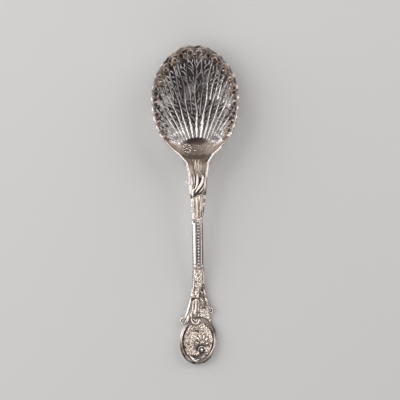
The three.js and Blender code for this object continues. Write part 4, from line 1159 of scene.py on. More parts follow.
def bar_leaves():
    """Leaves in the bar's own surface, over its lower half where no other piece lies."""
    def inside(x, y):
        return least(x - left_side(y) - 1.3, right_side(y) - 1.1 - x, MOULDING_END - 0.7 - y,
                     y - oval_top(x) - 0.4, -flower_ground(x, y), -cluster_ground(x, y),
                     -acanthus_ground(x, y))

    box = ((-9, OVAL_TOP_Y - 3), (9, LEAVES_Y))
    return scattered(box, inside, 2.3, 2.6, lambda x, y: -90 + 9 * x, 5, 0.9, margin=0.4)


DROP_START, DROP_HALF_ANGLE = 0.58, math.radians(14)
SHOULDER_THICKNESS, SHOULDER_LENGTH = 4.4, 4.5
SHOULDER_Y = HEEL_Y - SHEET - GAP
STEM_Y = SHOULDER_Y - SHOULDER_LENGTH
LEAVES_Y = MOULDING_END + 0.5
ACROSS = np.linspace(-1, 1, 87)
EASED_EDGES = 0.9 * ACROSS ** 4


def across_bar(left, right):
    return lerp(left, right, (ACROSS + 1) / 2)


def drop_sections():
    """Top and underside of the drop, section by section, as it follows the bowl from below."""
    for share in np.linspace(0, 1, 25):
        turn = math.pi - DROP_HALF_ANGLE * ACROSS * lerp(0.25, 1, share)
        plan = egg(turn, lerp(DROP_START, 1, share))
        thickness = lerp(0.6, SHOULDER_THICKNESS * (1 - 0.35 * ACROSS ** 4), share ** 2)
        normal = basin_normal(plan[:, 0], plan[:, 1])
        surface = np.column_stack([plan, basin(plan[:, 0], plan[:, 1])])
        yield surface - normal * (SHEET + GAP), surface - normal * (SHEET + GAP + thickness[:, None])


def shoulder_sections():
    """Top and underside of the shoulders, from the curve of the rim to the stem's straight sections."""
    for share in np.linspace(0, 1, 9)[1:]:
        flare = 1.2 * (1 - share)
        x = across_bar(left_side(SHOULDER_Y) - flare, right_side(SHOULDER_Y) + flare)
        x = lerp(x, across_bar(left_side(STEM_Y), right_side(STEM_Y)), share)
        y = lerp(heel_rim_y(x) - SHEET - GAP, STEM_Y, share)
        under_y = lerp(STEM_Y + 1.1, STEM_Y, share)
        under = np.column_stack([x, lerp(y, under_y, 0.8), core_under(under_y) + EASED_EDGES])
        yield np.column_stack([x, y, np.full(len(x), RIM_Z)]), under


def bar_relief():
    """Finds the relief of the bar's own leaves at places on its lower half."""
    left, lowest, highest, cell = -10, OVAL_TOP_Y - 3, -38, 0.2
    x, y = np.meshgrid(np.arange(left, -left, cell), np.arange(lowest, highest, cell))
    foot = Carving(x, y).draw(bar_leaves())
    grounds = (flower_ground, cluster_ground, acanthus_ground)
    covered = np.maximum.reduce([ground(foot.x, foot.y) for ground in grounds])
    relief = foot.relief * smooth(-covered / 0.5)
    rows, columns = relief.shape

    def relief_at(x, y):
        column = np.clip(np.round((x - left) / cell).astype(int), 0, columns - 1)
        row = np.clip(np.round((y - lowest) / cell).astype(int), 0, rows - 1)
        return relief[row, column]

    return relief_at


def bar_tarnish_and_painted_shade(x, y, leafy):
    """Tarnish across the bar's top, in the beads' channel and between the leaves, and painted shade on the
    neck's right flank.
    """
    plain = np.maximum(smooth((y + 42) / 1.5), smooth((np.abs(ACROSS) - 0.7) / 0.1))
    channel = smooth((1.0 - np.abs(x - CHANNEL_X)) / 0.3)
    channel *= smooth(MOULDING_START - 0.5 - y) * smooth(y - LEAVES_Y)
    # Painted shade: the neck's right flank is darkened as if turned away from the light.
    right_flank_painted_shade = 0.6 * smooth((x - 1) / 3.5) * smooth((y + 10) / 4) * smooth((14 - y) / 6)
    polished = 0.2 * smooth((LEAVES_Y - y) / 2)
    among_leaves = 0.8 * (1 - smooth(leafy / 0.7))
    return np.maximum(lerp(among_leaves, 0.2 - polished + right_flank_painted_shade, plain), channel)


def make_core():
    """The forged bar: a drop under the bowl, shoulders that follow the rim, the stem, and its foot at the
    oval."""
    sections = [*drop_sections(), *shoulder_sections()]
    tarnish = [np.full(len(ACROSS), 0.55)] * len(sections)
    relief_at = bar_relief()
    edge = np.maximum(0, np.abs(ACROSS) - 0.85) / 0.15
    plain_share = (STEM_Y - LEAVES_Y) / (STEM_Y - OVAL_TOP_Y)
    for down in np.concatenate([np.linspace(0, plain_share, 61)[1:], np.linspace(plain_share, 1, 171)[1:]]):
        straight_y = lerp(STEM_Y, OVAL_TOP_Y, down)
        x = across_bar(left_side(straight_y), right_side(straight_y))
        y = lerp(STEM_Y, oval_top(x) + 2 * GAP, down)
        leafy = relief_at(x, y) * (1 - edge)
        top = np.column_stack([x, y, core_top(x, y) - 0.35 * edge ** 2 + 0.7 * leafy])
        sections.append((top, np.column_stack([x, y, core_under(y) + EASED_EDGES])))
        tarnish.append(bar_tarnish_and_painted_shade(x, y, leafy))
    points, faces = walled_grid(*(np.array(rows) for rows in zip(*sections)))
    tarnish = np.concatenate(tarnish)
    add_piece("handle_bar", "toned_silver", ["handle_core"], points, faces,
              np.concatenate([tarnish, np.full(len(tarnish), 0.1)]))


def curled(points, size, turns):
    """The line through some points, with a curl of so many turns at its end, which winds in a little."""
    points = [tuple(point) for point in points]
    (bx, by), (x, y) = points[-2:]
    heading = math.atan2(y - by, x - bx)
    count = math.ceil(abs(turns) * 14)
    turn = turns * 2 * math.pi / max(count, 1)
    for i in range(1, count + 1):
        radius = size * (1 - 0.4 * i / count)
        heading += turn / 2
        x += radius * abs(turn) * math.cos(heading)
        y += radius * abs(turn) * math.sin(heading)
        heading += turn / 2
        points.append((x, y))
    return points


def rail_path(side):
    on_rim = [tuple(egg(side * math.radians(d))) for d in (133, 141, 149, 155)]
    elbow = (side * lerp(on_rim[-1][0] * side, abs(float(core_side(HEEL_Y, side))), 0.62), HEEL_Y + 0.9)
    stations = [HEEL_Y - share * RAIL_LENGTHS[side] for share in (0.14, 0.42, 0.7, 1)]
    return [*on_rim, elbow, *((float(core_side(y, side)) - side * RAIL_INSET, y) for y in stations)]


def make_rails():
    """Wires from the rim down both edges of the neck, the left one ending in a curl."""
    for name, node, side, turns in (("left_shoulder_rail", "shoulder_rail_left", -1, -0.7),
                                    ("right_shoulder_rail", "shoulder_rail_right", 1, 0)):
        plan = bent(curled(rail_path(side), RAIL_CURL, turns), 4)
        t = np.linspace(0, 1, len(plan))
        thickness = RAIL_RADIUS * (1 - 0.25 * smooth(t)) * (0.35 + 0.65 * smooth(t * 8))
        thickness *= 0.3 + 0.7 * smooth((1 - t) * 14)
        line = np.column_stack([plan, RIM_Z + GAP + thickness])
        moulding(name, "bright_silver", [node], line, thickness, 0.3, 0.35)


def rail_x(side, y):
    """The rail's middle line at y, and past the rail's end the line that it would have followed."""
    line = bent(rail_path(side), 10)[::-1]
    past = core_side(y, side) - side * RAIL_INSET
    return np.where(y < line[0, 1], past, np.interp(y, line[:, 1], line[:, 0]))


def twist_y(x):
    """The line that the neck leaf turns over at, which climbs from left to right."""
    middle = (TWIST_LEFT_Y + TWIST_RIGHT_Y) / 2
    left, right = float(left_side(middle)), float(right_side(middle))
    return lerp(TWIST_LEFT_Y, TWIST_RIGHT_Y, (x - left) / (right - left))


NECK_LEAF_FRONT_Y, FOLDS_TOP_Y = 33.5, 17.5
NECK_LEAF_SWELL, NECK_LEAF_HEIGHT = 1.25, 2.35


def make_neck_leaf():
    """The leaf that fills the neck: smooth bands at its sides, a matted middle, and folds that wrap over."""
    rows, columns = 210, 110
    along = np.linspace(0, 1, rows)[:, None]
    across = np.linspace(0, 1, columns)[None, :]
    middle_left, middle_right = 0.24, 0.79

    def clear(y):
        return lerp(GAP - RAIL_INSET, RAIL_RADIUS + 2 * GAP, smooth((y - TWIST_LEFT_Y - 2.9) / 4.0))

    def left(y):
        return rail_x(-1, y) + clear(y)

    def right(y):
        return rail_x(1, y) - clear(y)

    def end(edge):
        y = np.broadcast_to(edge(np.zeros_like(across)), across.shape)
        for _ in range(3):
            y = edge(lerp(left(y), right(y), across))
        return y

    front = end(lambda x: NECK_LEAF_FRONT_Y + 0.4 * np.sin(1.5 * x + 0.6) + 0.1 * np.sin(3.7 * x))
    knee, back = end(heel_rim_y), end(twist_y)
    y = np.where(along < 1 / 3, lerp(front, knee, along * 3), lerp(knee, back, along * 1.5 - 0.5))
    x = lerp(left(y), right(y), across)
    knee_y = heel_rim_y(x)
    floor = np.where(y > knee_y + 1e-6, basin(x, y) + GAP, RIM_Z) + GAP

    def matted_zone(x, y):
        across = (x - left(y)) / (right(y) - left(y))
        return least(9 * (across - 0.22), 9 * (0.81 - across), y - FOLDS_TOP_Y - 1, heel_rim_y(x) + 2 - y)

    def relief_of(strokes):
        return Carving(x, y).draw(strokes).relief

    folds = softened(relief_of(drawn(NECK_FOLDS)))
    fronds = scattered(((-6, 18), (8, 38)), matted_zone, 2.0, 3.0, lambda x, y: -90, 21, 0.7, 0.4, 24)
    fronds = softened(np.maximum(0.75 * relief_of(fronds), relief_of(drawn(NECK_STREAKS))))
    upper = smooth((y - FOLDS_TOP_Y) / 4)
    centre = smooth((across - middle_left) / 0.06) * smooth((middle_right - across) / 0.06)
    creases = sum(bell((across - place) / 0.03) for place in (0.25, 0.77))
    bands = 0.45 * half_round(2 * np.minimum(1, np.minimum(across, 1 - across) / 0.25) - 1) * (1 - centre)
    matted = centre * 0.62 * fronds
    relief = np.maximum(folds, upper * (bands + matted + 0.2 * centre) - 0.15 * creases * upper)
    swell = lerp(0.35, 1, smooth(along * 3)) * (0.35 + 0.65 * half_round((2 * across - 1) * 0.98))
    down = lerp(0.15, 1, smooth((1 - along) * 22))
    rise = NECK_LEAF_SWELL * swell + relief * lerp(0.9, 0.7, upper)
    top = np.minimum(floor + rise * down, RIM_Z + NECK_LEAF_HEIGHT)

    gaps = (1 - smooth((folds - 0.34) / 0.7)) * lerp(0.75, 1, smooth((across - 0.1) / 0.2))
    matt = lerp(0.76, lerp(1.0, 0.15, smooth((matted - 0.12) / 0.37)), centre) + 0.7 * creases
    matt += 0.2 * smooth((y - 21) / 8) - 0.3 * smooth((y - knee_y - 0.3) / 3)
    tarnish = np.clip(lerp(gaps, matt, upper), 0, 1)
    points, faces = walled_grid(np.stack([x, y, top], -1), np.stack([x, y, floor], -1))
    add_piece("fluted_neck_leaf", "toned_silver", ["neck_leaf"], points, faces,
              np.tile(tarnish.ravel(), 2), ochre=np.tile(0.22 * upper.ravel(), 2))


# Strokes of relief, by the pixels of the picture where they show: line, half-width, height, ends
NECK_FOLDS = [
    ([(190.9, 174.0), (191.6, 181), (193.4, 187)], 0.95, 0.9, "leaf"),
    ([(193.8, 172.5), (194.5, 179), (194.6, 184.5), (192.8, 190)], 0.75, 0.9, "tail"),
    ([(197.0, 172.5), (197.6, 180), (196.6, 186.5), (193.4, 192)], 1.05, 1.3, "leaf"),
    ([(201.0, 173.0), (203.0, 179), (201.2, 184.5), (197.4, 190), (194.4, 194)], 1.25, 1.5, "leaf"),
    ([(204.9, 175), (205.6, 180.6), (204.4, 186.6), (201, 191), (196.6, 195.4)], 0.95, 1.2, "leaf"),
    ([(207.0, 180), (206.8, 186.5), (204.0, 191.6), (199, 195.5)], 0.8, 1.0, "leaf"),
    ([(194.0, 188.6), (192.8, 193), (193.2, 198.6)], 1.3, 1.3, "leaf"),
    ([(205.7, 164.2), (205.8, 164.9)], 0.8, 1.0, "round"),
]
NECK_STREAKS = [
    ([(190.8, 157), (191.6, 163.5), (191.3, 170), (192.6, 176)], 0.5, 0.9, "leaf"),
    ([(193.4, 156), (192.9, 162.5), (194.1, 168.5), (194.2, 174)], 0.6, 0.9, "leaf"),
    ([(196.5, 156.5), (195.5, 162), (196.5, 167), (196.8, 173)], 0.6, 0.9, "leaf"),
    ([(199.5, 157), (198.4, 162.5), (199.2, 168), (199.5, 173.5)], 0.6, 0.9, "leaf"),
    ([(201.8, 158), (201.3, 165), (201.6, 170), (202.0, 175)], 0.5, 0.9, "leaf"),
]
SHEATH_STROKES = [
    ([(193.9, 198.0), (193.8, 210), (194.0, 222)], 1.3, 1.3, "round"),
    ([(199.9, 195.4), (200.6, 204), (200.4, 213), (199.9, 222)], 1.35, 1.5, "tail"),
    ([(196.9, 197.6), (197.4, 207), (197.4, 216), (197.2, 222)], 0.95, 1.05, "round"),
    ([(203.2, 194.8), (203.6, 203), (203.0, 211), (201.9, 221)], 0.95, 1.2, "tail"),
    ([(205.0, 206), (204.6, 212), (203.4, 219)], 0.65, 0.9, "leaf"),
]
FLOWER_STROKES = [
    ([(194.7, 267), (194.3, 278), (193.6, 288), (192.4, 296)], 1.5, 0.8, "tail"),
    ([(201.5, 268), (201.5, 276), (201.8, 284)], 0.6, 1.2, "round"),
    ([(195.4, 279.6), (194.7, 282.4), (196.2, 284.6)], 0.55, 1.2, "drop"),
    ([(198.6, 281.4), (197.2, 284.0), (198.4, 286.2)], 0.55, 1.2, "drop"),
    ([(200.2, 283.6), (199.2, 287.0), (200.4, 289.6)], 0.6, 1.3, "drop"),
    ([(196.8, 287.6), (195.8, 290.6), (197.2, 292.4)], 0.65, 1.3, "drop"),
    ([(194.6, 286.0), (193.6, 290.2), (194.0, 294.4)], 0.5, 1.0, "tail"),
    ([(199.4, 291.0), (199.8, 293.8), (198.6, 296.2)], 0.65, 1.2, "drop"),
]
CLUSTER_STROKES = [
    ([(203.2, 286.0), (203.5, 290), (204.0, 294)], 0.55, 1.1, "tail"),
    ([(202.6, 287.6), (200.9, 289.4), (200.8, 292.0), (202.6, 293.6)], 0.65, 1.5, "drop"),
    ([(204.0, 295.2), (201.6, 296.4), (200.9, 299.6), (202.8, 301.8)], 0.75, 1.7, "drop"),
    ([(205.2, 297.4), (205.4, 300.0), (204.4, 302.6)], 0.6, 1.2, "leaf"),
    ([(204.2, 303.6), (201.8, 304.8), (200.9, 307.6), (202.4, 309.6)], 0.75, 1.7, "drop"),
    ([(206.0, 304.4), (206.2, 307.0), (204.8, 309.2)], 0.6, 1.2, "leaf"),
]
ACANTHUS_STROKES = [
    ([(196.4, 300.2), (196.3, 305), (196.0, 310.4)], 1.15, 1.45, "round"),
    ([(193.4, 301.6), (193.1, 305), (192.4, 311.0)], 0.9, 1.25, "round"),
    ([(199.0, 301.0), (199.2, 305.5), (198.9, 311.4)], 0.75, 1.25, "round"),
    ([(194.9, 299.4), (194.8, 301.2)], 0.5, 1.0, "round"),
    ([(197.8, 299.4), (197.8, 301.0)], 0.5, 1.0, "round"),
    ([(195.6, 310.6), (195.2, 313.4), (195.4, 316.8)], 1.55, 1.6, "leaf"),
    ([(191.8, 311.4), (190.6, 314.2), (191.4, 317.0)], 1.05, 1.2, "drop"),
    ([(199.0, 311.6), (199.8, 314.2), (198.7, 317.0)], 1.0, 1.2, "drop"),
]
CREST_STROKES = [
    ([(191.6, 319.2), (192.4, 322.6), (195.6, 324.0), (198.4, 323.0), (199.6, 320.2)], 0.85, 1.4, "round"),
    ([(193.8, 319.4), (195.6, 321.6), (197.4, 319.8)], 0.65, 1.2, "round"),
    ([(200.4, 318.8), (200.6, 321.0), (199.6, 322.6)], 0.65, 1.2, "drop"),
]
SHELL_PETALS = [
    ([(201.0, 345.2), (199.0, 344.0), (196.6, 343.0)], 0.85, 1.0, "drop"),
    ([(201.2, 344.0), (199.2, 341.2), (197.4, 338.8)], 1.05, 1.2, "drop"),
    ([(201.8, 343.4), (201.0, 339.8), (200.2, 336.8)], 1.1, 1.3, "drop"),
    ([(202.4, 343.4), (203.2, 340.0), (204.2, 336.8)], 1.1, 1.3, "drop"),
    ([(203.0, 343.8), (205.2, 341.4), (207.2, 339.2)], 1.05, 1.2, "drop"),
    ([(203.2, 345.0), (205.6, 344.4), (207.8, 343.8)], 0.85, 1.0, "drop"),
]
LEFT_WING_BLADES = [
    ([(191.0, 296.5), (190.2, 303.5), (188.4, 310), (186.2, 315.6), (183.6, 318.6)], 1.35, 1.4, "leaf"),
    ([(193.0, 309), (191.4, 314.6), (188.6, 319.4)], 0.6, 0.9, "leaf"),
]
RIGHT_WING_BLADES = [([(205.2, 297.5), (206.8, 302), (208.4, 306), (210.4, 308.6)], 1.15, 1.3, "leaf")]
LEFT_EDGE_LEAF = [([(192.0, 325.5), (189.4, 328.6), (187.4, 334.0)], 1.2, 1.3, "leaf")]
CRESCENT_STROKES = [
    ([(190.0, 356.0), (193.0, 359.8), (197.0, 360.8), (200.0, 359.0)], 1.35, 1.5, "leaf"),
    ([(200.0, 358.6), (203.2, 357.6), (205.2, 354.8), (204.4, 352.6)], 0.65, 1.1, "leaf"),
]
LEFT_WING_EYE, RIGHT_WING_EYE, SHELL_ROOT, PEARL, CRESCENT_TIP = seen([
    (183.6, 321.4), (210.6, 311.2), (202.2, 344.4), (202.0, 350.4), (190.0, 356.0)])


def drawn(rows):
    return [stroke(seen(line), *looks) for line, *looks in rows]


def make_neck_ornaments():
    """The sheath below the twist, two small volutes on the right edge and three nubs on the left one."""
    def body(x, y):
        return least(x - left_side(y) - 1.6, twist_y(x) - 0.3 - y, y + 8.7 - 0.14 * np.square(x - 0.4),
                     right_side(y) - GAP - x - 3.0 * (1 - smooth((-2 - y) / 3)))

    carved_piece("leaf_sheath_on_the_neck", "toned_silver", ["leaf_sheath"], drawn(SHEATH_STROKES), core_top,
                 0.12, 0.5, body, body, clean=0.4)
    for name, node, y in (("upper_neck_volute", "neck_scroll_upper", 4.45),
                          ("lower_neck_volute", "neck_scroll_lower", -0.58)):
        centre = (float(right_side(y)) - 0.75, y + 0.9)
        curl = [*volute(centre, 1.3, 120, -1.1, 0.66, 1.35), dot(centre, 0.72, 1.3)]
        carved_piece(name, "bright_silver", [node], curl, core_top, 0.1, 0.3, clean=0.4)
    nubs, pitch, radius = 3, 2.3, 0.85
    nubs_y = TWIST_LEFT_Y - 1.44
    y = np.linspace(nubs_y, nubs_y - pitch * nubs, 4 * nubs + 1)[1:-1]
    x = left_side(y) + 0.56
    line = np.column_stack([x, y, core_top(x, y) + GAP + radius - 0.05])
    run_tree("nubs_on_the_neck", "bright_silver", ["neck_nubs"], bead_tree(), line,
             {"Beads": nubs, "Bead Radius": radius * MM, "Wire Radius": 0.5 * MM})


def stem_section(side, outer):
    """Height and tarnish of a moulding, from the channel at 0 to its outer edge at 1: a full round with a
    quirk beside the channel on the left, and a lower one between two quirks on the right."""
    rounded = half_round(np.abs(2 * outer - 0.9) / 1.1)
    if side < 0:
        crown = 0.45 + 0.55 * rounded ** 0.45
        quirk = bell((outer - 0.12) / 0.05)
    else:
        crown = 0.25 + 0.75 * rounded
        quirk = bell((outer - 0.22) / 0.07) + bell((outer - 0.8) / 0.06)
    return 1.6 * crown - 0.4 * quirk, np.clip(quirk, 0, 1)


def make_stem():
    """The stem's two mouldings, and the beads in the channel between them."""
    rows, columns = 130, 48
    for name, node, side in (("left_stem_moulding", "stem_moulding_left", -1),
                             ("right_stem_moulding", "stem_moulding_right", 1)):
        y = np.repeat(np.linspace(MOULDING_START, MOULDING_END, rows)[:, None], columns, 1)
        outer = np.linspace(0, 1, columns)[None, :]
        x = lerp(CHANNEL_X + side * CHANNEL_HALF_WIDTH, core_side(y, side) - side * GAP, outer)
        height, low = stem_section(side, outer)
        ends = smooth((y - MOULDING_END) / 3) * smooth((MOULDING_START - y) / 3)
        floor = core_top(x, y) + GAP
        top = floor + lerp(0.4, 1, ends) * height
        points, faces = walled_grid(np.stack([x, y, top], -1), np.stack([x, y, floor], -1))
        tarnish = np.maximum(low, 0.6 * (1 - ends)).ravel()
        add_piece(name, "bright_silver", [node], points, faces, np.tile(tarnish, 2))
    beads, pitch, first_y = 15, 2.0, -10.4
    y = np.linspace(first_y, first_y - pitch * (beads - 1), 4 * beads - 3)
    x = np.full_like(y, CHANNEL_X)
    line = np.column_stack([x, y, core_top(x, y) + GAP + 0.65])
    radius = bpy.context.scene.spoon_sizes.bead_radius
    run_tree("beads_in_the_channel", "bright_silver", ["stem_bead_wire"], bead_tree(), line,
             {"Beads": beads, "Bead Radius": radius, "Wire Radius": 0.25 * MM})


def make_lower_leaves():
    """Husks and flowers, the ruffled leaves right of them, and the smooth lobes above the oval."""
    def beside_band(x, y):
        return least(flower_ground(x, y) + 0.9, x - left_side(y) - 2.9, y - FLOWER_END - 2.3)

    def from_stem(x, y):
        return -90 + 14 * (x + 0.4)

    husks = scattered(((-3.2, FLOWER_END), (3, FLOWER_START + 1.2)), beside_band, 2.6, 3.1, from_stem, 3, 1.1)
    ruffles = scattered(((1, CLUSTER_END + 2.6), (5.8, CLUSTER_START + 1)), cluster_ground, 2.2, 2.2,
                        lambda x, y: -60, 4, 0.5, 0.9)
    for name, node, strokes, ground, clean, film in (
            ("husks_and_flowers", "flower_drop", drawn(FLOWER_STROKES) + husks, flower_ground, 0.78, 0.88),
            ("ruffled_leaves", "leaf_cluster", drawn(CLUSTER_STROKES) + ruffles, cluster_ground, 1.12, 1.0),
            ("acanthus_lobes", "acanthus_leaf", drawn(ACANTHUS_STROKES), acanthus_ground, 0.9, 0.7)):
        carved_piece(name, "toned_silver", [node], strokes, core_top, 0.12, 0.15, ragged(ground), ground,
                     clean, film)


def make_wings():
    """Leaf-like wings at both edges above the oval, each ending in a volute with an eye."""
    def level(x, y):
        return core_top(x, np.maximum(y, OVAL_TOP_Y))

    left_curl = volute(LEFT_WING_EYE, 2.5, 60, 1.35, 0.75, 1.5)
    right_curl = volute(RIGHT_WING_EYE, 1.9, 110, -1.3, 0.65, 1.4)
    for name, node, strokes in (("left_wing", "wing_scroll_left", drawn(LEFT_WING_BLADES) + left_curl),
                                ("right_wing", "wing_scroll_right", drawn(RIGHT_WING_BLADES) + right_curl)):
        carved_piece(name, "bright_silver", [node], strokes, level, 0.12, 0.4)


def clear_in_field(x, y):
    """How far a place in the field lies from the shell, the pearl and the frame."""
    shell_x, shell_y = SHELL_ROOT
    shell = np.hypot(x - shell_x, y - shell_y) - np.where(y > shell_y - 1, 4.9, 2.2)
    pearl = np.hypot(x - PEARL[0], y - PEARL[1]) - 2.7
    return least(shell, pearl, 12 * (0.8 - field_share(x, y)))


def field_sprigs(region, low, high, seed, height):
    """Sprigs in a region of the field, which point away from the shell's root."""
    def away(x, y):
        return math.degrees(math.atan2(y - SHELL_ROOT[1], x - SHELL_ROOT[0]))

    return scattered(((low, END_Y + 3), (high, OVAL_TOP_Y - 3)), region, 3.1, 3.0, away, seed, height)


def make_plate():
    """The oval plate, with cast foliage in its sunk field."""
    cell, reach = 0.15, 12.8
    xs = np.arange(OVAL_X - reach, OVAL_X + reach, cell)
    ys = np.arange(END_Y - 0.4, OVAL_TOP_Y + 0.6, cell)
    x, y = np.meshgrid(xs, ys)
    share = field_share(x, y)

    def in_field(x, y):
        below_crest = np.maximum(np.abs(x + 1.9) - 3.2, -80.6 - y)
        between = np.maximum(-y - 81.4, np.minimum(x + 6.4, 4.2 - x))
        return least(clear_in_field(x, y), between, below_crest, y + 99.0)

    carving = Carving(x, y).draw(field_sprigs(in_field, -7.4, 8.0, 7, 1.0))
    rim = smooth((share - 0.78) / 0.05)
    relief = softened(carving.relief) * (1 - rim) * smooth(clear_in_field(x, y) + 1)
    top = plate_top(x, y) + relief - 0.35 * smooth((share - 0.95) / 0.05) ** 2
    # Painted shade: a dark arch over the pearl and a dark patch behind the crest, added to the tarnish.
    painted_shade_by_pearl = bell((np.hypot(x - PEARL[0] + 0.8, y - PEARL[1]) - 2.4) / 0.9) * smooth(y - PEARL[1] + 1)
    painted_shade_behind_crest = 0.55 * bell(np.hypot(x + 1.6, y + 81.6) / 2.6)
    tarnish = lerp(0.85 * (1 - smooth((relief - 0.1) / 0.7)) * (1 - 0.1 * rim), 1, np.maximum(painted_shade_by_pearl, painted_shade_behind_crest))
    plan, (tops, tones), faces = cut_sheet(xs, ys, (0.995 - share) * 12, [top, tarnish], relief)
    nothing = np.zeros(len(plan))
    points, faces = walled(np.column_stack([plan, tops]), np.column_stack([plan, nothing]), faces)
    ochre = 0.36 * (1 - tones) * smooth((0.88 - field_share(*plan.T)) / 0.05)
    add_piece("cartouche_ground", "toned_silver", ["cartouche_plate"], points, faces,
              np.concatenate([tones, nothing + 0.12]), ochre=np.concatenate([ochre, nothing]))


def make_frames():
    """The two grooved mouldings round the field, tarnished on their inner side, with painted shade along each
    except at one place, which is left as a painted highlight.
    """
    for name, node, start, end, painted_highlight_y in (("left_frame_moulding", "cartouche_frame_left", -42, -176, -84),
                                             ("right_frame_moulding", "cartouche_frame_right", 16, 167, -92)):
        s = np.linspace(0, 1, 110)
        thickness = FRAME_RADIUS * half_round((2 * s - 1) ** 3) ** 0.8 + 0.12
        plan = oval(np.radians(lerp(start, end, s)), FRAME_RADIUS)
        line = np.column_stack([plan, PLATE_EDGE + GAP + thickness * 0.9])
        groove_place = 0.3 if start < 0 else -0.3

        def tones(places, painted_highlight_y=painted_highlight_y):
            x, y, _ = places.T
            # Painted light: darkened all along, and bright only near one place as a painted highlight.
            painted_shade_off_highlight = 0.85 * (1 - bell((y - painted_highlight_y) / 6))
            return np.maximum(0.9 * smooth((0.885 - field_share(x, y)) / 0.03), painted_shade_off_highlight)

        moulding(name, "bright_silver", [node], line, thickness, 0.5, 0.2, groove_place, 40, tones)


def make_field_ornaments():
    """The cup, the shell, the foliage along the frame, the pearl in its collar and the crescent scroll."""
    def on_left(x, y):
        crescent = np.hypot(x + 5.8, y + 79.6) - 3.4
        return least(clear_in_field(x, y), -6.0 - x, y + 98.2, -81.6 - y, crescent)

    def on_right(x, y):
        return least(clear_in_field(x, y), x - 3.8, y + 100.2, -81.2 - y)

    def seat(x, y):
        return 2.6 - np.hypot(x - PEARL[0], y - PEARL[1])

    carved_piece("crest_cup", "toned_silver", ["cartouche_crest"], drawn(CREST_STROKES), plate_top, 0.1, 0.3)
    carved_piece("shell_fan", "toned_silver", ["cartouche_shell"], drawn(SHELL_PETALS), plate_top, 0.1, 0.3)
    foliage = field_sprigs(on_left, -11, -6, 8, 1.15) + drawn(LEFT_EDGE_LEAF)
    carved_piece("foliage_on_the_left", "toned_silver", ["cartouche_foliage_left"], foliage, plate_top,
                 0.11, 0.2, None, clear_in_field, 0.45)
    foliage = field_sprigs(on_right, 3.8, 9.6, 9, 1.15)
    carved_piece("foliage_on_the_right", "toned_silver", ["cartouche_foliage_right"], foliage, plate_top,
                 0.11, 0.2, None, clear_in_field)
    collar = arc_stroke(PEARL, 2.25, np.radians(np.linspace(-115, 80, 15)), np.linspace(0.35, 0.6, 15), 1.2)
    beads = [dot(PEARL, 1.25, 1.35), collar]
    carved_piece("pearl_in_its_collar", "bright_silver", ["cartouche_pearl"], beads,
                 plate_top, 0.1, 0.12, seat)
    crescent = drawn(CRESCENT_STROKES) + volute(CRESCENT_TIP + (0.4, 0.9), 1.2, 250, -0.9, 0.45, 1.2)
    carved_piece("crescent_scroll", "bright_silver", ["cartouche_bottom_scroll"], crescent,
                 plate_top, 0.1, 0.3)


# The stage

# In metres: the picture's width is taken at a level between the rim and the floor.
FLOOR_HALF_WIDTH = 3
PICTURE_WIDTH, PICTURE_LEAN = 0.2632, math.radians(-0.95)
PICTURE_MIDDLE = (0.00206, 0.0036)
PICTURE_LEVEL = 0.008


def plain_material(name, colour, roughness):
    material = bpy.data.materials.new(name)
    material.use_nodes = True
    shader = material.node_tree.nodes["Principled BSDF"]
    shader.inputs["Base Color"].default_value = (*colour, 1)
    shader.inputs["Roughness"].default_value = roughness
    return material


def soft_lamp(name, azimuth, from_above, distance, target_y, size, power):
    """A panel of light, turned to the spoon. Its azimuth counts from the spoon's right to the bowl's tip."""
    data = bpy.data.lights.new(name, "AREA")
    data.shape = "RECTANGLE"
    data.size, data.size_y = size
    data.energy = power
    a, z = math.radians(azimuth), math.radians(from_above)
    out = distance * math.sin(z)
    lamp = linked(name, data)
    lamp.location = (out * math.cos(a), out * math.sin(a), distance * math.cos(z))
    lamp.rotation_euler = (Vector((0, target_y, 0)) - lamp.location).to_track_quat("-Z", "Y").to_euler()


def make_stage():
    scene = bpy.context.scene
    studio = scene.spoon_studio
    scene.view_settings.view_transform = "Standard"
    mesh = bpy.data.meshes.new("floor")
    r = FLOOR_HALF_WIDTH
    mesh.from_pydata([(-r, -r, 0), (r, -r, 0), (r, r, 0), (-r, r, 0)], [], [(0, 1, 2, 3)])
    mesh.materials.append(plain_material("plain_floor", studio.floor_colour, 0.9))
    floor = linked("floor", mesh)

    world = bpy.data.worlds.new("studio")
    world.use_nodes = True
    world.node_tree.nodes["Background"].inputs["Color"].default_value = (*studio.room_colour, 1)
    world.node_tree.nodes["Background"].inputs["Strength"].default_value = 1.0
    scene.world = world

    soft_lamp("left_softbox", 152, 58, 1.25, 0.03, (2.0, 1.4), studio.key_power)
    soft_lamp("front_panel", 274, 68, 1.4, 0.03, (1.6, 0.8), studio.front_power)
    soft_lamp("right_window", 36, 62, 1.3, 0.03, (1.2, 1.0), studio.side_power)
    soft_lamp("overhead_softbox", 235, 16, 1.75, 0.02, (1.3, 1.3), studio.top_power)

    data = bpy.data.cameras.new("camera")
    data.sensor_width = 36.0
    data.lens = 200.0
    data.clip_end = 10.0
    camera = linked("camera", data)
    distance = PICTURE_WIDTH * data.lens / data.sensor_width
    camera.location = (*PICTURE_MIDDLE, distance + PICTURE_LEVEL)
    camera.rotation_euler = (0, 0, PICTURE_LEAN)
    scene.camera = camera


# The add-on

def length(name, description, default):
    return bpy.props.FloatProperty(name=name, description=description, default=default,
                                   unit="LENGTH", precision=5)


def colour(name, description, default):
    return bpy.props.FloatVectorProperty(name=name, description=description, default=default,
                                         subtype="COLOR", size=3, min=0, max=1)


def power(name, description, default):
    return bpy.props.FloatProperty(name=name, description=description, default=default, min=0, unit="POWER")


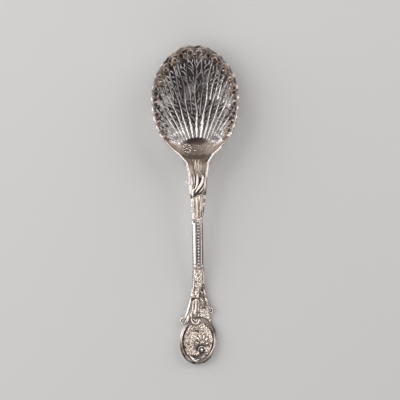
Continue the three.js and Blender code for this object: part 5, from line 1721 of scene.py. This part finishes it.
class SpoonSizes(bpy.types.PropertyGroup):
    """Sizes of the fine work."""
    rib_width: length("Rib width", "Width of the bowl's main veins", 0.0012)
    slit_width: length("Slit width", "Width of the bowl's slits", 0.00118)
    bowl_grain: length("Bowl grain", "Spacing of the places that the bowl is modelled at", 0.00027)
    bead_radius: length("Bead radius", "Radius of the beads in the stem's channel", 0.0007)


class SpoonFinish(bpy.types.PropertyGroup):
    """Colours of the silver and of its tarnish."""
    silver: colour("Silver", "Polished silver", (0.9, 0.855, 0.825))
    warm_silver: colour("Warm silver", "Silver of the chased pieces", (0.93, 0.85, 0.79))
    film_ochre: colour("Ochre film", "Thin film on the bowl's band and the cartouche", (0.62, 0.475, 0.345))
    tarnish_brown: colour("Brown tarnish", "Warm tarnish in low places", (0.27, 0.175, 0.12))
    tarnish_ochre: colour("Ochre tarnish", "Lighter tarnish", (0.5, 0.36, 0.25))
    tarnish_grey: colour("Grey tarnish", "Purple-grey tarnish in the bowl's middle", (0.21, 0.175, 0.18))
    tarnish_dark: colour("Dark tarnish", "Oldest tarnish", (0.05, 0.035, 0.035))
    polish: bpy.props.FloatProperty(name="Polish", description="Roughness of the polished silver",
                                    default=0.15, min=0, max=1, subtype="FACTOR")


class SpoonStudio(bpy.types.PropertyGroup):
    """Floor, room and lamps."""
    floor_colour: colour("Floor", "Plain floor", (0.6, 0.59, 0.58))
    room_colour: colour("Room", "Light of the room all round", (0.11, 0.11, 0.115))
    key_power: power("Left softbox", "Power of the large softbox", 19.0)
    side_power: power("Right window", "Power of the smaller window", 9.0)
    front_power: power("Front panel", "Power of the panel before the handle", 4.2)
    top_power: power("Overhead softbox", "Power of the softbox overhead", 7.6)


class SPOON_OT_stage(bpy.types.Operator):
    """Set the floor, the lamps and the camera"""
    bl_idname = "spoon.stage"
    bl_label = "Stage"

    def execute(self, context):
        make_stage()
        return {"FINISHED"}


class SPOON_OT_bowl(bpy.types.Operator):
    """Make the pierced bowl, with its fluted lobes and tracery"""
    bl_idname = "spoon.bowl"
    bl_label = "Pierced bowl"

    def execute(self, context):
        make_bowl()
        return {"FINISHED"}


class SPOON_OT_rim(bpy.types.Operator):
    """Make the scalloped rim wire and the shoulder rails"""
    bl_idname = "spoon.rim"
    bl_label = "Rim and rails"

    def execute(self, context):
        make_rim()
        make_rails()
        return {"FINISHED"}


class SPOON_OT_heel(bpy.types.Operator):
    """Make the medallion, the shell leaf and the pearl in the bowl's heel"""
    bl_idname = "spoon.heel"
    bl_label = "Heel ornaments"

    def execute(self, context):
        make_heel_ornaments()
        return {"FINISHED"}


class SPOON_OT_core(bpy.types.Operator):
    """Make the forged bar of the handle"""
    bl_idname = "spoon.core"
    bl_label = "Handle bar"

    def execute(self, context):
        make_core()
        return {"FINISHED"}


class SPOON_OT_neck(bpy.types.Operator):
    """Make the neck's fluted leaf, sheath, volutes and nubs"""
    bl_idname = "spoon.neck"
    bl_label = "Neck"

    def execute(self, context):
        make_neck_leaf()
        make_neck_ornaments()
        return {"FINISHED"}


class SPOON_OT_stem(bpy.types.Operator):
    """Make the stem's mouldings and the beads between them"""
    bl_idname = "spoon.stem"
    bl_label = "Stem"

    def execute(self, context):
        make_stem()
        return {"FINISHED"}


class SPOON_OT_leaves(bpy.types.Operator):
    """Make the husks, leaves and wings above the cartouche"""
    bl_idname = "spoon.leaves"
    bl_label = "Leaves and wings"

    def execute(self, context):
        make_lower_leaves()
        make_wings()
        return {"FINISHED"}


class SPOON_OT_cartouche(bpy.types.Operator):
    """Make the oval cartouche with its frame, shell, pearl and foliage"""
    bl_idname = "spoon.cartouche"
    bl_label = "Cartouche"

    def execute(self, context):
        make_plate()
        make_frames()
        make_field_ornaments()
        return {"FINISHED"}


STEPS = (SPOON_OT_stage, SPOON_OT_bowl, SPOON_OT_rim, SPOON_OT_heel, SPOON_OT_core, SPOON_OT_neck,
         SPOON_OT_stem, SPOON_OT_leaves, SPOON_OT_cartouche)


class SPOON_PT_panel(bpy.types.Panel):
    """The spoon's steps, with its sizes, finishes and studio"""
    bl_idname = "SPOON_PT_panel"
    bl_label = "Silver spoon"
    bl_space_type = "VIEW_3D"
    bl_region_type = "UI"
    bl_category = "Spoon"

    def draw(self, context):
        scene = context.scene
        for group in (scene.spoon_sizes, scene.spoon_finish, scene.spoon_studio):
            box = self.layout.box()
            for name in group.__annotations__:
                box.prop(group, name)
        for step in STEPS:
            self.layout.operator(step.bl_idname)


CLASSES = (SpoonSizes, SpoonFinish, SpoonStudio, *STEPS, SPOON_PT_panel)


def register():
    for one in CLASSES:
        bpy.utils.register_class(one)
    bpy.types.Scene.spoon_sizes = bpy.props.PointerProperty(type=SpoonSizes)
    bpy.types.Scene.spoon_finish = bpy.props.PointerProperty(type=SpoonFinish)
    bpy.types.Scene.spoon_studio = bpy.props.PointerProperty(type=SpoonStudio)


def unregister():
    for name in ("spoon_sizes", "spoon_finish", "spoon_studio"):
        delattr(bpy.types.Scene, name)
    for one in reversed(CLASSES):
        bpy.utils.unregister_class(one)


def main():
    register()
    for step in STEPS:
        area, name = step.bl_idname.split(".")
        getattr(getattr(bpy.ops, area), name)()


if __name__ == "__main__":
    main()
